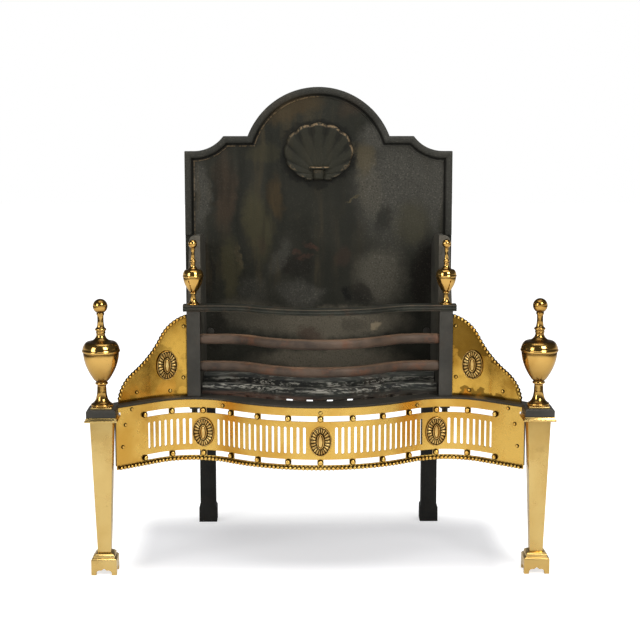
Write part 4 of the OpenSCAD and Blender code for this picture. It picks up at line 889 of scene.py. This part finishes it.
def wingEdge():
    # the wing's ogee edge as three arcs, fitted to its run and fall: rows of (x, z)
    turns, radii = np.radians([14, 64, 39, 87]), (67.0, 155.0, 62.0)

    def spoke(radius, turn):
        return radius * np.stack([np.sin(turn), np.cos(turn)], -1)
    c1 = -spoke(radii[0], turns[0])
    c2 = c1 + spoke(radii[0] + radii[1], turns[1])
    c3 = c2 - spoke(radii[1] + radii[2], turns[2])
    p = np.concatenate([c1 + spoke(radii[0], np.linspace(turns[0], turns[1], 24)),
                        c2 - spoke(radii[1], np.linspace(turns[1], turns[2], 18)[1:]),
                        c3 + spoke(radii[2], np.linspace(turns[2], turns[3], 24)[1:])])
    wide, fall = front["runEnd"] - front["wingIn"], 4.0 - front["wingHeight"]
    return np.stack([front["wingIn"] + p[:, 0] * wide / p[-1, 0],
                     front["railTop"] + front["wingHeight"] + p[:, 1] * fall / p[-1, 1]], 1)


def wingBeads():
    # beads at equal steps along the wing's edge, half over it
    edge = wingEdge()
    x, y = fretFace(faceDistance(edge[:, 0], front["wingBack"]), front["wingBack"])[:2]
    line = np.stack([x, y, edge[:, 1]], 1)
    length = np.concatenate([[0], np.cumsum(np.linalg.norm(np.diff(line, axis=0), axis=1))])
    pitch, size = front["beadPitch"] * 1.02, front["beadSize"]
    at = size / 2 + 1 + np.arange(int((length[-1] - size - 1) / pitch) + 1) * pitch
    spot = np.stack([np.interp(at, length, line[:, k]) for k in range(3)], 1)
    ahead = np.stack([np.interp(at + 1, length, line[:, k]) for k in range(3)], 1) - spot
    inset = size / 2 - 1
    off = front["wingBack"] - size / 2 - front["shut"]
    s = faceDistance(spot[:, 0] + inset * ahead[:, 2], off)
    z = spot[:, 2] - inset * np.hypot(ahead[:, 0], ahead[:, 1])
    for side, sign in sides.items():
        ornament(f"wing_beads_{side}", f"wing_beading_{side}", beadShape(size), sign * s, z, off)


def wingRivets():
    # rivets at (x, height over the rail) on the right wing and mirrored on the left
    at = np.array([(front["wingIn"] + 5.5, 117.0), (front["wingIn"] + 7, 31.0), (front["wingIn"] + 29, 9.5),
                   (front["runEnd"] - 28.5, 14.0)])
    s = faceDistance(at[:, 0], front["wingBack"])
    ornament("wing_rivet_heads", "wing_rivets", rivetShape(), np.concatenate([s, -s]),
             np.tile(at[:, 1] + front["railTop"], 2), front["wingBack"] - front["shut"])


studs()
fretBeads()
fretRivets()
paterae()
wingBeads()
wingRivets()
print("brass ornament made")

# CAD pieces with their sharp edges eased: finish, slot, whether they follow the fret, and each node's chamfer
# in mm; a star stands for left and right

easedPieces = [
    (brassFret, "brass", True, {"fret": 0.28}), (brassWing, "brass", True, {"wing_*": 0.28}),
    (ironBlack, "black_iron", True, {"front_rail": 0.5}),
    (brassLeg, "brass", False, {"leg_*": 0.9, "foot_*": 0.5, "leg_cap_*": 0.4, "plinth_*": 0.4}),
    (ironBlack, "black_iron", False, {"upright_*": 0.8, "upright_nuts": 0.5}),
    (ironBlack, "black_iron", True, {"end_strap_*": 0.4, "wing_bracket_*": 0.4}),
    (ironCheek, "back_iron", False, {"cheek_*": 1.2}), (ironRearShaded, "black_iron", False, {"rear_leg_*": 1.0}),
    (ironBlack, "black_iron", False, {"rear_leg_bolts": 0.6, "cheek_bolts": 0.5, "leg_rod_nuts": 0.4,
                                      "strap_screws": 0.3, "leg_rod_*": 0.3}),
    (ironGrate, "burnt_iron", False, {"bottom_grate": 0.5}),
]


def eased(node, width, finish, follows):
    # a copy of the node's mesh, welded, its sharp edges chamfered and its shading smooth along the fret
    bm = bmesh.new()
    bm.from_mesh(frame["nodes"][node].data)
    bmesh.ops.remove_doubles(bm, verts=bm.verts, dist=1e-6)
    bmesh.ops.dissolve_limit(bm, angle_limit=math.radians(0.5), verts=bm.verts, edges=bm.edges)
    corner = math.radians(30)
    sharp = [e for e in bm.edges if len(e.link_faces) == 2 and e.calc_face_angle(0) > corner]
    bmesh.ops.bevel(bm, geom=sharp, offset=width * mm, offset_type="OFFSET", segments=2, profile=0.6,
                    affect="EDGES", clamp_overlap=True)
    bmesh.ops.triangulate(bm, faces=[f for f in bm.faces if len(f.verts) > 4])
    mesh = bpy.data.meshes.new(f"{node}_eased")
    bm.to_mesh(mesh)
    bm.free()
    mesh.shade_smooth()
    mesh.set_sharp_from_angle(angle=math.radians(32))
    if follows:
        smoothAlongFret(mesh)
    addPiece(f"{node}_eased", node, mesh, finish, "grate" if node == "bottom_grate" else "basket")


def smoothAlongFret(mesh):
    # a bent sheet's front and back get the normals of its true curve, (sin, -cos) of its heading, and every
    # other face its own flat one

    def read(items, key, width, kind=float):
        values = np.empty(len(items) * width, kind)
        items.foreach_get(key, values)
        return values.reshape(-1, width)
    owner = np.repeat(np.arange(len(mesh.polygons)), read(mesh.polygons, "loop_total", 1, np.int32)[:, 0])
    flat = read(mesh.polygons, "normal", 3)[owner]
    points = read(mesh.vertices, "co", 3)[read(mesh.loops, "vertex_index", 1, np.int32)[:, 0]] / mm
    heading = faceHeading(points[:, 0], points[:, 1])
    true = np.stack([np.sin(heading), -np.cos(heading), np.zeros(len(heading))], 1)
    along = (true * flat).sum(1)
    close = np.abs(along) > math.cos(math.radians(7))
    normals = np.where(close[:, None], true * np.sign(along)[:, None], flat)
    mesh.normals_split_custom_set(normals.tolist())


for finish, slot, follows, widths in easedPieces:
    for node, width in widths.items():
        for side in sides if "*" in node else ("",):
            eased(node.replace("*", side), width, finish, follows)
print("eased CAD pieces made")

# Studio

studio = {"focal": 1665.0, "photoWidth": 640, "cameraAt": (-0.032, -2.77225, 0.817), "pitch": 8.73,
          "yaw": 0.68, "floorSize": 14.0, "worldLevel": 0.50, "glossLow": 0.80, "glossHigh": 0.07,
          "lift": 0.70, "shadowHalf": (0.28, 0.36, 0.08, 0.27), "shadowY": -0.005,
          "shadowTone": (0.52, 0.52, 0.53, 1.0), "paper": (0.8, 0.8, 0.8, 1),
          "beyond": (0.10, 0.09, 0.08, 1), "paperHalf": (1.0, 2.2)}
# lamps: place, what each points at, width and height, and watts
lamps = {"key_box": ((1.3, -2.2, 2.3), (0.0, 0.0, 0.35), (1.1, 1.1), 42),
         "fill_box": ((-2.2, -1.9, 1.5), (0.0, 0.0, 0.3), (1.0, 1.4), 22),
         "top_box": ((0.0, -0.3, 2.8), (0.0, 0.0, 0.2), (1.8, 1.2), 24)}


def camera():
    # the photograph's camera: focal length in pixels of its width, turned down by pitch and right by yaw
    data = bpy.data.cameras.new("photo_camera")
    data.sensor_fit, data.sensor_width = "HORIZONTAL", 36.0
    data.lens = data.sensor_width * studio["focal"] / studio["photoWidth"]
    eye = newObject("photo_camera", data)
    eye.location = studio["cameraAt"]
    eye.rotation_euler = (math.radians(90 - studio["pitch"]), 0, -math.radians(studio["yaw"]))
    bpy.context.scene.camera = eye


def lamp(name, at, aim, size, watts):
    # soft box at one place, turned to face another
    data = bpy.data.lights.new(name, "AREA")
    data.shape, data.size, data.size_y = "RECTANGLE", size[0], size[1]
    data.energy = watts
    light = newObject(name, data)
    light.location = at
    light.rotation_euler = (Vector(aim) - Vector(at)).to_track_quat("-Z", "Y").to_euler()


def floor():
    # white floor with a soft shadow patch under the grate; brass sees it darker beyond the paper's sides
    half = studio["floorSize"] / 2
    corners = [(-half, -half, 0), (half, -half, 0), (half, half, 0), (-half, half, 0)]
    mesh = bpy.data.meshes.new("studio_floor")
    mesh.from_pydata(corners, [], [(0, 1, 2, 3)])
    f = Finish(bpy.data.materials.new("studio_white"))
    rays = f.ray("Camera")
    shine = f.ray("Glossy")
    spot = f.place()
    aside = f.axis(spot, "X").math("ABSOLUTE")
    along = (f.axis(spot, "Y") - studio["shadowY"]).math("ABSOLUTE")
    nearX, farX, nearY, farY = studio["shadowHalf"]
    patch = aside.step(nearX, farX, 1.0, 0.0) * along.step(nearY, farY, 1.0, 0.0) * rays
    paper = f.mix(shine * aside.step(*studio["paperHalf"]), studio["paper"], studio["beyond"])
    paint = f.make("ShaderNodeBsdfDiffuse", {}, {"Color": f.mix(patch, paper, studio["shadowTone"])})
    light = f.mix(patch, (1, 1, 1, 1), studio["shadowTone"])
    glow = f.make("ShaderNodeEmission", {}, {"Color": light, "Strength": rays * studio["lift"]})
    both = f.make("ShaderNodeAddShader", {}, {0: paint, 1: glow})
    f.make("ShaderNodeOutputMaterial", {}, {"Surface": both})
    mesh.materials.append(f.owner)
    newObject("studio_floor", mesh)


def world():
    # white for what the camera sees; polished brass sees white near the floor and a dim studio above
    sky = bpy.data.worlds.new("studio_world")
    bpy.context.scene.world = sky
    f = Finish(sky)
    seen = f.ray("Camera")
    shine = f.ray("Glossy")
    through = f.ray("Transmission")
    direction = f.make("ShaderNodeTexCoord", out="Generated")
    low = f.axis(direction, "Z").step(-0.05, 0.30, studio["glossLow"], studio["glossHigh"])
    level = seen + through + shine * low + (1 - seen) * (1 - through) * (1 - shine) * studio["worldLevel"]
    background = f.make("ShaderNodeBackground", {}, {"Color": (1, 1, 1, 1), "Strength": level})
    f.make("ShaderNodeOutputWorld", {}, {"Surface": background})


camera()
for name, settings in lamps.items():
    lamp(name, *settings)
floor()
world()
bpy.context.scene.view_settings.view_transform = "Standard"
print("studio made")
